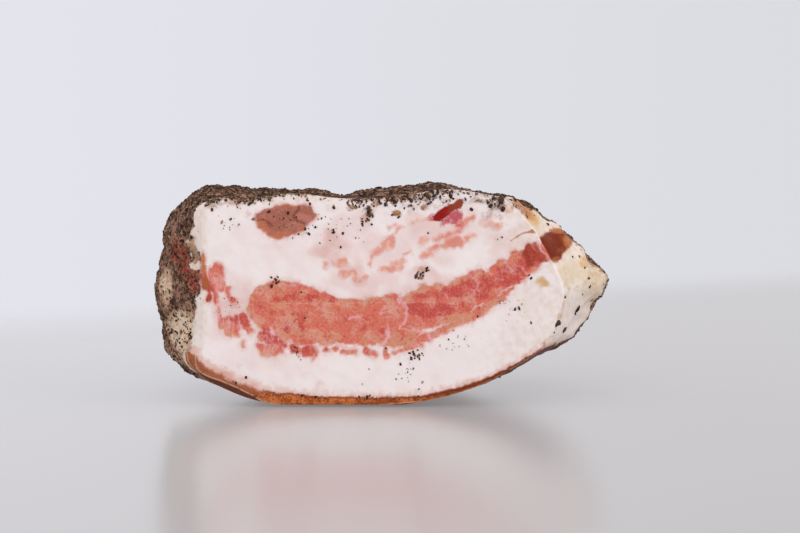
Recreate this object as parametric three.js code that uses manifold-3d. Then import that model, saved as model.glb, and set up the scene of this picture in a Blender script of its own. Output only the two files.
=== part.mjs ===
// Half of a guanciale, the cured pork jowl: a thick slab of fat with a streak of lean, cut straight across.
// Millimetres, +Z up. The cut looks along -Y, the rounded end of the jowl points along +Y, the rind is underneath.
// The origin is at the foot of the piece, under the middle of its box.
import * as THREE from "three";
import { mergeVertices } from "three/addons/utils/BufferGeometryUtils.js";
import Module from "manifold-3d";

// Driving sizes of the slab
const LENGTH = 112; // from the cut to the rounded end
const FACE_Y = -LENGTH / 2;
const END_Y = LENGTH / 2;
const SHOULDER_DEPTH = 18; // this far behind the cut the piece is at its widest
const SHOULDER_Y = FACE_Y + SHOULDER_DEPTH;
const END_HEIGHT = 30; // middle of the rounded end above the foot
const END_DRIFT = -7; // the end lies a little to the left

// How the slab closes from the shoulder to its end: superellipses for its width, top and underside
const WIDTH_ROUND = { across: 1.6, along: 2.4 };
const TOP_ROUND = { across: 1.8, along: 2.2 };
const FOOT_ROUND = { across: 1.8, along: 4 };
// Towards its end the outline turns into an ellipse with these half sizes
const END_ELLIPSE = { width: 78, top: 44, foot: 31 };

// Outline of the cut, clockwise from the foot as seen from the front, and how far the shoulder stands out past it
const OUTLINE = [
  { cut: [3, -0.4], flare: [0, -0.8] },
  { cut: [-22, -1.2], flare: [0, -0.6] },
  { cut: [-42, 1.2], flare: [-1, -1.2] },
  { cut: [-55, 6.2], flare: [-2, -2.6] },
  { cut: [-62, 11.5], flare: [-6, -3] }, // rind turns up
  { cut: [-64, 17], flare: [-12, -1.5] },
  { cut: [-62, 26], flare: [-15.5, 0] },
  { cut: [-61.5, 38], flare: [-19, -1] }, // widest on the left
  { cut: [-61.5, 50], flare: [-17.5, 0] },
  { cut: [-62, 60], flare: [-15.5, 0] },
  { cut: [-61.5, 68], flare: [-10.5, 0.4] },
  { cut: [-57, 71.6], flare: [-6, 3] }, // upper left corner
  { cut: [-46, 71], flare: [-2, 3.6] },
  { cut: [-31, 73.2], flare: [-1, 1.4] },
  { cut: [-14, 71.6], flare: [-0.5, 0.2] }, // dip in the top
  { cut: [0, 71.6], flare: [-2.5, 2.8] },
  { cut: [13, 73.4], flare: [-1, 2.3] },
  { cut: [23, 74.6], flare: [-2, 2] }, // highest
  { cut: [35, 73], flare: [2, 0.4] },
  { cut: [43.5, 70.2], flare: [5, 1] }, // upper right corner
  { cut: [52.5, 60.5], flare: [9, 1.7] },
  { cut: [59, 49], flare: [14.5, 0.3] },
  { cut: [62.5, 40], flare: [18.2, 1.8] }, // point of the right side
  { cut: [61, 32], flare: [14.5, 1] },
  { cut: [57, 21], flare: [11.5, 0.5] },
  { cut: [46, 13], flare: [7.5, -0.4] },
  { cut: [34, 6.7], flare: [2, -1.2] },
  { cut: [19, 2.1], flare: [0, -1] },
];
// Right of the first place the shoulder turns from rounded to one trimmed facet, which is flat from the second on
const FACET = { from: 40, full: 56 };

// Cured surface: slow swellings and steeper crags, both smooth towards the rind
const SWELLING = 1.1;
const CRAGS = 1.5;
const RIND_EDGE = { low: 3, high: 14 };

// Streak of lean in the cut: its lower and upper edge at places across the piece, past the slab on both sides
const STREAK_HALF = 90;
const STREAK = [
  { x: -STREAK_HALF, low: 37, high: 47 },
  { x: -70, low: 37, high: 50 },
  { x: -62, low: 36.5, high: 51 }, // dried edge on the left
  { x: -57, low: 31, high: 49 },
  { x: -52, low: 25, high: 41 },
  { x: -47, low: 26, high: 37 }, // neck beside the thick round end
  { x: -43, low: 26, high: 40.5 },
  { x: -35, low: 23, high: 43.2 },
  { x: -27, low: 20.8, high: 42 },
  { x: -17, low: 21, high: 38.6 },
  { x: -6, low: 20.8, high: 35.8 },
  { x: 3, low: 20.2, high: 38 },
  { x: 9, low: 21.2, high: 39.4 },
  { x: 15, low: 26, high: 42 },
  { x: 22, low: 28, high: 41.8 },
  { x: 28, low: 29.6, high: 44.5 },
  { x: 37, low: 35.2, high: 47.4 },
  { x: 47, low: 42, high: 53.4 },
  { x: 57, low: 49.5, high: 57.8 },
  { x: 66, low: 53, high: 60.5 }, // dried edge on the facet
  { x: STREAK_HALF, low: 62, high: 66 },
];
const LOBE = { height: 0.7, width: 7.5 }; // bundles of fibre scallop its edges
const STREAK_END_Y = 26; // the streak runs back to here and ends in the fat
// Share of its spread and thickness that the streak keeps on its way back
const STREAK_RUN = [
  { along: 0, spread: 1, thickness: 1 },
  { along: 0.2, spread: 1, thickness: 0.97 },
  { along: 0.5, spread: 0.7, thickness: 0.85 },
  { along: 0.98, spread: 0.45, thickness: 0.4 },
  { along: 1, spread: 0.45, thickness: 0.4 },
];

// Two smaller eyes of lean in the upper fat: middle, half length, half thickness, tilt in degrees, depth
const EYES = {
  lean_eye_large: { x: -33.3, z: 63.2, along: 10.6, across: 5.3, tilt: 9, depth: 24, colour: 0xa8604f },
  lean_eye_small: { x: 22.6, z: 67.6, along: 6.4, across: 2.1, tilt: 32, depth: 14, colour: 0x8f2a30 },
};

const CLEARANCE = 0.3; // between the lean and the fat round it
const FRONT_ALLOWANCE = 4; // the streak's cutter starts this far in front of the cut

// Coarse pepper: the crust's grains, and the grains spilled on the cut by their place, reach and number
const GRAIN = { count: 104, radius: 1.3, spread: 0.3, low: 15, firstRow: 0.3, lastRow: 1.8 };
const SPILL = { radius: 0.8, sunk: 0.3 };
const SPILLS = [
  { x: -38, z: 70, reach: 12, number: 3 },
  { x: -7, z: 65, reach: 6, number: 3 },
  { x: -3, z: 69, reach: 3, number: 3 },
  { x: 13, z: 47, reach: 2.5, number: 2 },
  { x: 12, z: 70, reach: 8, number: 3 },
  { x: 8, z: 15, reach: 6, number: 3 },
  { x: 53, z: 27, reach: 5, number: 4 },
];

// Steps of the meshes
const AROUND = 78;
const SHOULDER_ROWS = 5;
const BACK_ROWS = 18;
const STREAK_STEPS = 80;
const EYE_STEPS = { around: 20, rows: 12 };

const FAT = { color: 0xead9d2, roughness: 0.5, metalness: 0 };
const LEAN = { color: 0xc0604c, roughness: 0.45, metalness: 0 };

const { lerp, degToRad, smoothstep } = THREE.MathUtils;

const smoothLine = (points, closed) => new THREE.CatmullRomCurve3(points, closed, "catmullrom");
const cutLine = smoothLine(
  OUTLINE.map(({ cut }) => new THREE.Vector3(cut[0], 0, cut[1])),
  true,
);
const shoulderLine = smoothLine(
  OUTLINE.map(({ cut, flare }) => new THREE.Vector3(cut[0] + flare[0], 0, cut[1] + flare[1])),
  true,
);
const streakLine = smoothLine(
  STREAK.map(({ x, low, high }) => new THREE.Vector3(x, low, high)),
  false,
);

// What is left of a size part of the way from the shoulder to the end, on a superellipse.
const closing = (part, { across, along }) => Math.pow(1 - Math.pow(part, along), 1 / across);

// A point of the slab's surface without its relief. Share goes round the outline; row 0 is the cut,
// 1 the shoulder and 2 the end.
function skinPoint(share, row) {
  const cut = cutLine.getPoint(share);
  const shoulder = shoulderLine.getPoint(share);
  if (row <= 1) {
    const rounded = Math.sin((row * Math.PI) / 2);
    const out = lerp(rounded, row, smoothstep(cut.x, FACET.from, FACET.full));
    return cut.lerp(shoulder, out).setY(FACE_Y + SHOULDER_DEPTH * row);
  }
  const part = row - 1;
  const upper = shoulder.z > END_HEIGHT;
  const reach = upper ? END_ELLIPSE.top : END_ELLIPSE.foot;
  const angle = Math.atan2((shoulder.z - END_HEIGHT) / reach, shoulder.x / END_ELLIPSE.width);
  const turned = smoothstep(part, 0, 0.8);
  const wide = lerp(shoulder.x, END_ELLIPSE.width * Math.cos(angle), turned);
  const high = lerp(shoulder.z - END_HEIGHT, reach * Math.sin(angle), turned);
  return new THREE.Vector3(
    wide * closing(part, WIDTH_ROUND) + END_DRIFT * part * part,
    lerp(SHOULDER_Y, END_Y, part),
    END_HEIGHT + high * closing(part, upper ? TOP_ROUND : FOOT_ROUND),
  );
}

// Height of the cured surface's relief: three products of slow waves, and ridges where two waves meet.
function relief({ x, y, z }) {
  const slow =
    0.9 * Math.sin(0.085 * x + 0.06 * y + 1.3) * Math.sin(0.09 * y - 0.05 * z + 0.4) +
    0.55 * Math.sin(0.19 * x - 0.13 * z + 2.1) * Math.cos(0.17 * y + 0.11 * z) +
    0.35 * Math.sin(0.41 * x + 0.33 * y - 0.29 * z);
  const ridge = Math.abs(Math.sin(0.31 * x + 0.22 * z + 0.7 * Math.sin(0.2 * y)));
  const cross = Math.abs(Math.sin(0.35 * y - 0.27 * z + 0.9 * Math.sin(0.17 * x)));
  return SWELLING * slow + CRAGS * (0.5 - ridge * cross);
}

// The way out of the slab across its length, steeper up and down than sideways because the slab is wide.
const outward = ({ x, z }) => new THREE.Vector3(x, 0, 1.6 * (z - END_HEIGHT)).normalize();

// A point of the surface with its relief, which fades out towards the cut, the end and the rind.
function surfacePoint(share, row) {
  const point = skinPoint(share, row);
  const fade = smoothstep(row, 0.15, 1) * (1 - smoothstep(row, 1.9, 2));
  const crusted = smoothstep(point.z, RIND_EDGE.low, RIND_EDGE.high);
  return point.addScaledVector(outward(point), fade * crusted * relief(point));
}

// Triangles of the wall between rings that run clockwise as seen from the front, the first ring foremost.
function wallFaces(sides, lastRing) {
  const faces = [];
  for (let side = 0; side < sides; side++) {
    const next = (side + 1) % sides;
    for (let start = 0; start < lastRing; start += sides) {
      faces.push(start + side, start + next, start + sides + side);
      faces.push(start + next, start + sides + next, start + sides + side);
    }
  }
  return faces;
}

// A closed mesh through rings of points, each end closed by a fan to one point.
function fanEnded(rings, firstPoint, lastPoint) {
  const sides = rings[0].length;
  const firstFan = rings.length * sides;
  const lastRing = firstFan - sides;
  const faces = wallFaces(sides, lastRing);
  for (let side = 0; side < sides; side++) {
    const next = (side + 1) % sides;
    faces.push(firstFan, next, side);
    faces.push(firstFan + 1, lastRing + side, lastRing + next);
  }
  return toGeometry([...rings.flat(), firstPoint, lastPoint], faces);
}

// A closed mesh through rings that run back along a lower edge and out along an upper one. The ends are
// strips between the two edges, because a fan would leave a bent outline.
function stripEnded(rings) {
  const sides = rings[0].length;
  const lastRing = (rings.length - 1) * sides;
  const faces = wallFaces(sides, lastRing);
  for (let side = 0; side < sides / 2 - 1; side++) {
    const opposite = sides - 1 - side;
    faces.push(side, opposite - 1, side + 1);
    faces.push(side, opposite, opposite - 1);
    faces.push(lastRing + side, lastRing + side + 1, lastRing + opposite - 1);
    faces.push(lastRing + side, lastRing + opposite - 1, lastRing + opposite);
  }
  return toGeometry(rings.flat(), faces);
}

function toGeometry(points, faces) {
  const geometry = new THREE.BufferGeometry().setFromPoints(points);
  geometry.setIndex(faces);
  return geometry;
}

const wasm = await Module();
wasm.setup();

function toSolid(geometry) {
  const bare = geometry.clone();
  bare.deleteAttribute("normal");
  bare.deleteAttribute("uv");
  const merged = mergeVertices(bare);
  return new wasm.Manifold(
    new wasm.Mesh({
      numProp: 3,
      vertProperties: new Float32Array(merged.attributes.position.array),
      triVerts: new Uint32Array(merged.index.array),
    }),
  );
}

function toMesh(name, solid, finish) {
  const { vertProperties, triVerts } = solid.getMesh();
  const geometry = new THREE.BufferGeometry();
  geometry.setAttribute("position", new THREE.BufferAttribute(vertProperties, 3));
  geometry.setIndex(new THREE.BufferAttribute(triVerts, 1));
  geometry.computeVertexNormals();
  const mesh = new THREE.Mesh(geometry, new THREE.MeshStandardMaterial(finish));
  mesh.name = name;
  return mesh;
}

// The whole slab, fat and lean together, with its underside pressed flat where it rests.
function makeSlab() {
  const rows = [];
  for (let i = 0; i < SHOULDER_ROWS; i++) rows.push(i / SHOULDER_ROWS);
  for (let i = 0; i < BACK_ROWS; i++) rows.push(1 + Math.sin(((i / BACK_ROWS) * Math.PI) / 2));
  const ring = (row) => Array.from({ length: AROUND }, (_, i) => surfacePoint(i / AROUND, row));
  const faceMiddle = new THREE.Vector3(0, FACE_Y, END_HEIGHT);
  const whole = toSolid(fanEnded(rows.map(ring), faceMiddle, skinPoint(0, 2)));
  const below = new THREE.BoxGeometry(2 * LENGTH, 2 * LENGTH, LENGTH);
  below.translate(0, 0, -LENGTH / 2);
  return whole.subtract(toSolid(below));
}

// The streak's edges at a share of its width. Half waves stand out of the upper edge, and the lower edge's
// lie between them, as the bundles of fibre do.
function streakEdges(share) {
  const { x, y: low, z: high } = streakLine.getPoint(share);
  const phase = (Math.PI * x) / LOBE.width;
  return {
    x,
    low: low - LOBE.height * Math.abs(Math.cos(phase)),
    high: high + LOBE.height * Math.abs(Math.sin(phase)),
  };
}

// The streak as a blade that narrows and thins on its way back, grown all round by a margin.
function makeStreak(margin) {
  const edges = Array.from({ length: STREAK_STEPS + 1 }, (_, i) => streakEdges(i / STREAK_STEPS));
  const rings = STREAK_RUN.map(({ along, spread, thickness }) => {
    const y = lerp(FACE_Y - FRONT_ALLOWANCE, STREAK_END_Y, along) + (along === 1 ? margin : 0);
    const edge = (side) =>
      edges.map(({ x, low, high }) => {
        const past = Math.abs(x) === STREAK_HALF ? margin * Math.sign(x) : 0;
        const middle = lerp(END_HEIGHT, (low + high) / 2, spread);
        const half = ((high - low) / 2) * thickness + margin;
        return new THREE.Vector3(x * spread + past, y, middle + side * half);
      });
    return [...edge(-1).reverse(), ...edge(1)];
  });
  return toSolid(stripEnded(rings));
}

// An eye of lean as an ellipsoid with its middle on the cut, grown by a margin.
function makeEye({ x, z, along, across, tilt, depth }, margin) {
  const ball = new THREE.SphereGeometry(1, EYE_STEPS.around, EYE_STEPS.rows);
  ball.scale(along + margin, depth + margin, across + margin);
  ball.rotateY(-degToRad(tilt));
  ball.translate(x, FACE_Y, z);
  return toSolid(ball);
}

// Repeatable draws from 0 to 1.
function makeDraw(seed) {
  let state = seed;
  return () => {
    state = (state * 48271) % 2147483647;
    return state / 2147483647;
  };
}

// One grain of pepper: an uneven flattened icosahedron, half sunk at its place.
function makeGrain(place, radius, draw) {
  const grain = new THREE.IcosahedronGeometry(radius);
  grain.scale(1, 0.7 + 0.3 * draw(), 0.7 + 0.3 * draw());
  grain.rotateX(2 * Math.PI * draw());
  grain.rotateZ(2 * Math.PI * draw());
  grain.translate(place.x, place.y, place.z);
  return toSolid(grain);
}

// True where a grain would touch neither the streak nor an eye.
function clearOfLean({ x, y, z }) {
  const room = GRAIN.radius + LOBE.height + CLEARANCE;
  const after = STREAK.findIndex((place) => place.x > x);
  const [a, b] = [STREAK[after - 1], STREAK[after]];
  const part = (x - a.x) / (b.x - a.x);
  const inStreak = z > lerp(a.low, b.low, part) - room && z < lerp(a.high, b.high, part) + room;
  const inEye = Object.values(EYES).some((eye) => Math.hypot(x - eye.x, z - eye.z) < eye.along + room);
  return !(inStreak && y < STREAK_END_Y) && !(inEye && y < SHOULDER_Y);
}

const EVEN_STEPS = [0.7549, 0.5698]; // shares that spread points evenly over a surface

// Places of the crust's grains: even all over the peppered skin, none on the rind or near the lean.
function crustPlaces() {
  const places = [];
  for (let i = 0; places.length < GRAIN.count; i++) {
    const [share, across] = EVEN_STEPS.map((step) => (i * step) % 1);
    const place = surfacePoint(share, lerp(GRAIN.firstRow, GRAIN.lastRow, across));
    if (place.z > GRAIN.low && clearOfLean(place)) places.push(place);
  }
  return places;
}

// Places of the grains spilled on the cut, round each spill's middle.
function spillPlaces(draw) {
  return SPILLS.flatMap(({ x, z, reach, number }) =>
    Array.from({ length: number }, () => {
      const angle = 2 * Math.PI * draw();
      const distance = reach * Math.sqrt(draw());
      const height = 0.4 * distance * Math.sin(angle);
      return new THREE.Vector3(x + distance * Math.cos(angle), FACE_Y + SPILL.sunk, z + height);
    }),
  ).filter(clearOfLean);
}

const slab = makeSlab();
const draw = makeDraw(20);
const crustRadius = () => GRAIN.radius * (1 + GRAIN.spread * (2 * draw() - 1));
const grains = [
  ...crustPlaces().map((place) => makeGrain(place, crustRadius(), draw)),
  ...spillPlaces(draw).map((place) => makeGrain(place, SPILL.radius, draw)),
];
const peppered = grains.reduce((body, grain) => body.add(grain), slab);
const leanCutters = [makeStreak(CLEARANCE), ...Object.values(EYES).map((eye) => makeEye(eye, CLEARANCE))];
const fat = leanCutters.reduce((body, cutter) => body.subtract(cutter), peppered);

const guanciale = new THREE.Group();
guanciale.add(toMesh("jowl_fat", fat, FAT));
guanciale.add(toMesh("lean_streak", slab.intersect(makeStreak(0)), LEAN));
for (const [name, eye] of Object.entries(EYES)) {
  guanciale.add(toMesh(name, slab.intersect(makeEye(eye, 0)), { ...LEAN, color: eye.colour }));
}

export default guanciale;
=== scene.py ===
"""Looks of half a guanciale, the cured pork jowl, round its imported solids.

The cut looks along -Y, the rounded end points along +Y and the rind is underneath. Blender works in metres;
the sizes and places listed here are millimetres, as in the part's source, and MM turns them into metres.
"""

import math
from collections import namedtuple

import bpy
import numpy as np
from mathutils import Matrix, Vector


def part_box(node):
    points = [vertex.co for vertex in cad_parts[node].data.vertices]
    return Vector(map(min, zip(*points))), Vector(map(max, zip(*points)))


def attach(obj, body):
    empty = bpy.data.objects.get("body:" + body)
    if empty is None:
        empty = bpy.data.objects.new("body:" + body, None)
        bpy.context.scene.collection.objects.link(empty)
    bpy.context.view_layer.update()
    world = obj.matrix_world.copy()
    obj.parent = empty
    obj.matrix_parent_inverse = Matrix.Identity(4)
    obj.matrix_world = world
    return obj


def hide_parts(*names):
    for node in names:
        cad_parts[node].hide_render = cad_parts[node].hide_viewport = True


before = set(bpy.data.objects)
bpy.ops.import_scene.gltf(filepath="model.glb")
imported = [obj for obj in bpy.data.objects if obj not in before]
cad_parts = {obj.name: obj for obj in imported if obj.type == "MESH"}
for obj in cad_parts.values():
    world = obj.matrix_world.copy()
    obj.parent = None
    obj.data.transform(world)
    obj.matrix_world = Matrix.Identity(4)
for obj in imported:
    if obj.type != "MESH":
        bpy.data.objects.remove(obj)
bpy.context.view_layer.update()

bl_info = {
    "name": "Guanciale",
    "version": (1, 0, 0),
    "blender": (4, 5, 0),
    "location": "View3D > Sidebar > Guanciale",
    "description": "Makes half of a peppered guanciale with its stage, lights and camera",
    "category": "Add Mesh",
}

MM = 0.001
ROOT = "root"

# Sizes of the slab, the same as in the part's source
FACE_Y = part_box("lean_streak")[0].y / MM  # plane of the cut
END_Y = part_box("jowl_fat")[1].y / MM
SHOULDER_DEPTH = 18  # this far behind the cut the piece is at its widest
SHOULDER_Y = FACE_Y + SHOULDER_DEPTH
END_HEIGHT = 30  # middle of the rounded end above the foot
END_DRIFT = -7  # the end lies a little to the left
WIDTH_ROUND = (1.6, 2.4)  # superellipses that close the slab: powers across and along
TOP_ROUND = (1.8, 2.2)
FOOT_ROUND = (1.8, 4)
END_WIDTH, END_TOP, END_FOOT = 78, 44, 31  # half sizes of the ellipse that the outline turns into
FACET = (40, 56)  # from the first to the second the shoulder turns into one flat facet
SWELLING, CRAGS = 1.1, 1.5  # relief of the cured surface
RIND_EDGE = (3, 14)  # heights between which that relief fades in above the rind
LEAN_ROOM = 0.5  # the fat is sunk by this much behind the lean's own pieces
LIFT = 0.04  # lean and grains stand this far in front of the cut
FAR = 20  # stands for a place well outside a shape

# Outline of the cut, clockwise from the foot as seen from the front: x and z of the cut, how far the
# shoulder stands out past it, and how far behind the cut the crust begins
OUTLINE = np.array(
    [
        (3, -0.4, 0, -0.8, 0),
        (-22, -1.2, 0, -0.6, 0),
        (-42, 1.2, -1, -0.6, 0),
        (-55, 5.9, -2, -1.2, 0),
        (-63, 11, -5.6, -1.6, 2),  # rind turns up
        (-64.4, 17, -12, -1, 4.2),
        (-62, 26, -15.5, 0, 2.6),
        (-61.5, 38, -19, -1, 0.9),  # widest on the left
        (-61.5, 50, -17.5, 0, 1.8),
        (-62, 60, -15.5, 0, 2.2),
        (-61.5, 68, -10.5, 0.4, 2),
        (-57, 71.6, -6, 3, -0.6),  # upper left corner
        (-46, 71, -2, 3.6, -1.6),
        (-31, 73.2, -1, 1.4, -1.6),
        (-14, 71.6, -0.5, 0.2, -1.6),  # dip in the top
        (0, 71.6, -2.5, 2.8, -1.6),
        (13, 73.4, -1, 2.3, -1.6),
        (23, 74.6, -2, 2, -0.5),  # highest
        (35, 73, 2, 0.4, 3),
        (43.5, 70.2, 5, 1, 11),  # upper right corner
        (52.5, 60.5, 9, 1.7, 17.6),
        (59, 49, 15, 1.2, 17.3),
        (62.5, 40, 18.2, 1.8, 17),  # point of the right side
        (61, 32, 14.5, 1, 16.8),
        (57, 21, 11.5, 0.5, 16),
        (46, 13, 6, 0.4, 8),
        (34, 6.7, 2, -1.2, 0),
        (19, 2.1, 0, -1, 0),
    ]
)
# The four corners of the cut, as numbers of outline points, from the lower left clockwise; and from and to
# along its upper edge
CORNERS = (4, 11, 19, 24)
TOP_SPAN = (10.4, 21.9)

# The streak of lean in the cut: its lower and upper edge from the rounded left end to the dried right end
BAND_LOW = [
    (-46, 33.5), (-45.4, 30.5), (-43.6, 27.8), (-40.9, 25.1), (-38.4, 25.4), (-35.7, 22.4), (-32, 21.6),
    (-26.6, 20.7), (-22.1, 20.8), (-15.2, 21.2), (-8.4, 21), (-4.9, 19.9), (-1.5, 21), (1.3, 20.2),
    (6.8, 20.2), (10.9, 22.4), (13.3, 23.6), (14.7, 25.9), (19.2, 27.3), (21.6, 28.4), (27.8, 29.4),
    (30.5, 30.9), (33.6, 34.2), (39.1, 36), (40.8, 38.2), (45.3, 40.7), (50.8, 45), (55.3, 48.5),
    (57.6, 50.2),
]
BAND_HIGH = [
    (-46, 33.5), (-45.6, 36.4), (-44.1, 39.4), (-41.4, 41.7), (-38.3, 43), (-34.8, 43.3), (-29, 42.6),
    (-25.9, 41.5), (-21.1, 40), (-17, 38.6), (-15, 37), (-12.1, 36.6), (-6.3, 35.8), (-4, 37.3),
    (-0.6, 37.2), (1.4, 38.2), (4.6, 38.4), (6.4, 36.6), (8, 37.4), (9.2, 39.7), (11.5, 40), (13.8, 42.1),
    (17, 41.2), (19.3, 42.6), (22.6, 40.9), (25.4, 43.6), (28, 44.2), (31.2, 45.7), (34.3, 47.6),
    (37, 47), (40.2, 50), (43, 50.6), (45.8, 53.4), (48.2, 53), (50.4, 55.2), (52.8, 56.6), (54.6, 56),
]
# The oval eye of lean, clockwise from its left tip
OVAL = [
    (-43.6, 65.6), (-40.4, 67.8), (-36.6, 68.8), (-32, 69.2), (-27.6, 69.6), (-24, 69.2), (-22.4, 66.2),
    (-23.4, 64), (-25.8, 62.9), (-26.6, 60.9), (-29, 59.2), (-32.4, 57.9), (-36.4, 57.7), (-40.2, 59.6),
    (-42.6, 62.4),
]
# The small dark eye, clockwise from its left tip
GLAND = [
    (18, 64.9), (18.8, 66.1), (20.4, 67.5), (22, 68.9), (24, 69.6), (25.8, 70.8), (27.4, 71.4),
    (28.3, 70.2), (27.8, 68.3), (26, 68), (24.4, 67), (22.9, 65.7), (21.6, 64.4), (20.2, 63.6),
    (18.8, 63.9),
]
# Creases in the oval eye
DARK_LINES = [
    (-28.8, 68.8, -30.4, 65.8, 0.35), (-30.4, 65.8, -28.6, 63.6, 0.35), (-28.6, 63.6, -25.6, 62.6, 0.3),
    (-42.6, 64.8, -39.6, 64.2, 0.25), (-39.6, 64.2, -37.4, 61.8, 0.3),
]

# Shreds and beads of lean round the streak, as strokes: two ends and a radius
SHREDS = [
    (-61.8, 51, -61.9, 45, 1), (-61.6, 45, -60.5, 40.6, 1.6), (-60.4, 40.4, -59, 37, 1.1),
    (-58.3, 46, -58.1, 40.4, 1.6), (-55.9, 47.4, -55.3, 41, 1.6), (-57.4, 40, -57, 35.4, 1),
    (-52.6, 40.2, -52.3, 36.6, 1), (-51.6, 36.2, -51.4, 35.8, 1), (-56.2, 34, -55.9, 30, 0.5),
    (-55.3, 29.8, -54.9, 27.4, 1.2), (-52.8, 30, -52.8, 25, 1.5), (-50.4, 30, -50.2, 24.8, 1.4),
    (-47.6, 30.8, -46.5, 27.4, 1.7), (-46, 27.6, -45.4, 25.6, 1.1), (-48, 22.4, -47.8, 20.6, 0.5),
    (56.4, 56, 58, 51.8, 1.5),
]
BEADS = [
    (-42, 23.8, -41, 23, 1.1), (-40.3, 24.2, -39.6, 22.6, 1.5), (-37.6, 23, -37.2, 21.4, 1.6),
    (-35, 21.8, -34, 21, 1.3), (-42, 20.6, -41.2, 20, 1), (-39.8, 19.2, -37.4, 18.2, 1.8),
    (-36.6, 19.6, -35.6, 19, 1.4), (-30.2, 19.8, -29, 19, 1.8), (-25.8, 18.7, -23.6, 18.3, 2),
    (-19.2, 19.4, -18.9, 19, 1.1), (-16.1, 19.6, -15.7, 19.5, 0.95), (-12.9, 18.8, -8.9, 18.3, 1),
    (-4.6, 18.7, -4.2, 18, 1.2), (-2.7, 17.7, -2.3, 17.3, 1), (1.2, 18, 1.6, 17.3, 1.4),
    (4.3, 17.9, 4.9, 17.9, 0.9), (6.3, 18.6, 6.5, 18.6, 0.8), (8.3, 20, 8.5, 19.6, 1.2),
    (10.1, 20.3, 10.3, 20.2, 1.1), (12, 20.8, 12.2, 20.8, 1), (13.9, 20.8, 14.1, 20.8, 0.9),
    (14.6, 22.5, 14.8, 22.7, 0.9), (16, 23.1, 16.4, 23.3, 0.8), (17.4, 24, 18.8, 24.4, 0.9),
    (20, 24.7, 22.4, 25.2, 0.8), (23.4, 25.4, 24.6, 25.7, 0.4), (8, 21, 13, 22.2, 1.2),
    (13, 22.4, 20, 25.4, 1.4), (22, 26.8, 30, 29.4, 1.3), (30, 29.8, 36.4, 33.4, 1.4),
    (36, 33.4, 42, 37.2, 1.3), (42, 37.6, 46, 40, 0.9),
]
# A fine brown line above the streak's right end
AMBER_LINES = [(44.8, 57, 48.6, 59.5, 0.16), (48.6, 59.5, 52, 60.2, 0.25), (52, 60.2, 55.4, 60, 0.6)]
# Where the lean frays into upright fibres
FIBROUS_PATCHES = [
    (-54, 36, 12, 17, 0, 0.75), (-58.4, 43, 1.3, 3, -4, 1.3), (-51.8, 28.8, 1.3, 1.2, 0, 1.2),
    (-39, 22, 6, 5, 0, 0.7),
]
# Pale veins through the streak
VEINS = [
    (6.4, 37.9, 6.9, 35.2, 0.8), (8.3, 35.1, 8.4, 29.7, 0.5), (8.3, 29.7, 6.9, 26.6, 0.4),
    (6.9, 26.6, 11.2, 25.7, 0.2), (11.2, 25.7, 16.1, 24.6, 0.4), (16.1, 24.6, 18, 22.6, 0.4),
    (1.3, 34.6, 0.4, 31.6, 0.3), (2.6, 28.4, 2.4, 25.2, 0.15), (2.4, 25.2, 1.8, 22.1, 0.45),
    (1.8, 22.1, -0.8, 20.3, 0.4), (0.6, 32, 5.4, 33.8, 0.15), (-10.6, 29.7, -7.6, 30.1, 0.4),
    (-38.4, 26.4, -37.4, 24.6, 0.5), (-31.3, 22.2, -30.9, 21.2, 0.6), (-15, 20.4, -9, 20.2, 0.5),
    (30, 46.6, 33.5, 42, 0.15), (36, 49.5, 38, 45.5, 0.15), (41.5, 50.4, 46, 46.4, 0.1),
    (22, 38, 26, 33, 0.1), (52.2, 55.8, 54.4, 53.4, 0.1), (54.2, 56.8, 55.6, 53.8, 0.3),
    (55.6, 53.8, 57.6, 51.4, 0.25), (48, 47.6, 50.4, 45.4, 0.1),
]
# Pale streaks of lean in the upper fat
PALE_STREAKS = [
    (-1.4, 53.2, 4.2, 57, 1.2), (1.6, 56.4, 4.4, 57.9, 1.2), (-3.2, 49.2, -1.8, 52.6, 0.6),
    (0, 47, 7, 48, 0.9), (4.2, 48.6, 7.6, 49.6, 0.9), (14.3, 51.8, 19, 54.6, 1.2),
    (20.8, 55.2, 27.6, 56, 1.3), (22.6, 57.2, 26.8, 57, 1.1), (18.6, 58, 20.6, 58.8, 0.8),
    (22.3, 58.9, 26.9, 60.3, 0.9), (13.7, 56.9, 15.5, 57.6, 0.7), (5.4, 59.9, 7.1, 62, 0.5),
    (26.4, 62.2, 28.2, 62.8, 1.2), (29.4, 57.4, 32.2, 58.6, 0.9), (29, 63.2, 31.6, 64.4, 0.8),
    (36.4, 61.8, 38.2, 63, 0.5), (38.4, 63.2, 41.4, 62.2, 0.6), (-14.9, 49.4, -12.6, 50.4, 1.2),
    (-19.4, 49.5, -19.4, 47.1, 0.5), (-13.3, 45.4, -10.9, 46, 1.1), (-9.7, 46.2, -8.2, 43.4, 0.8),
    (-6.8, 43.7, -5.1, 44.2, 0.7), (9.2, 62.7, 17.8, 64.4, 0.2), (7.8, 52.3, 9.9, 53, 0.4),
    (3, 61.7, 5.1, 62.7, 0.4),
]
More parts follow.
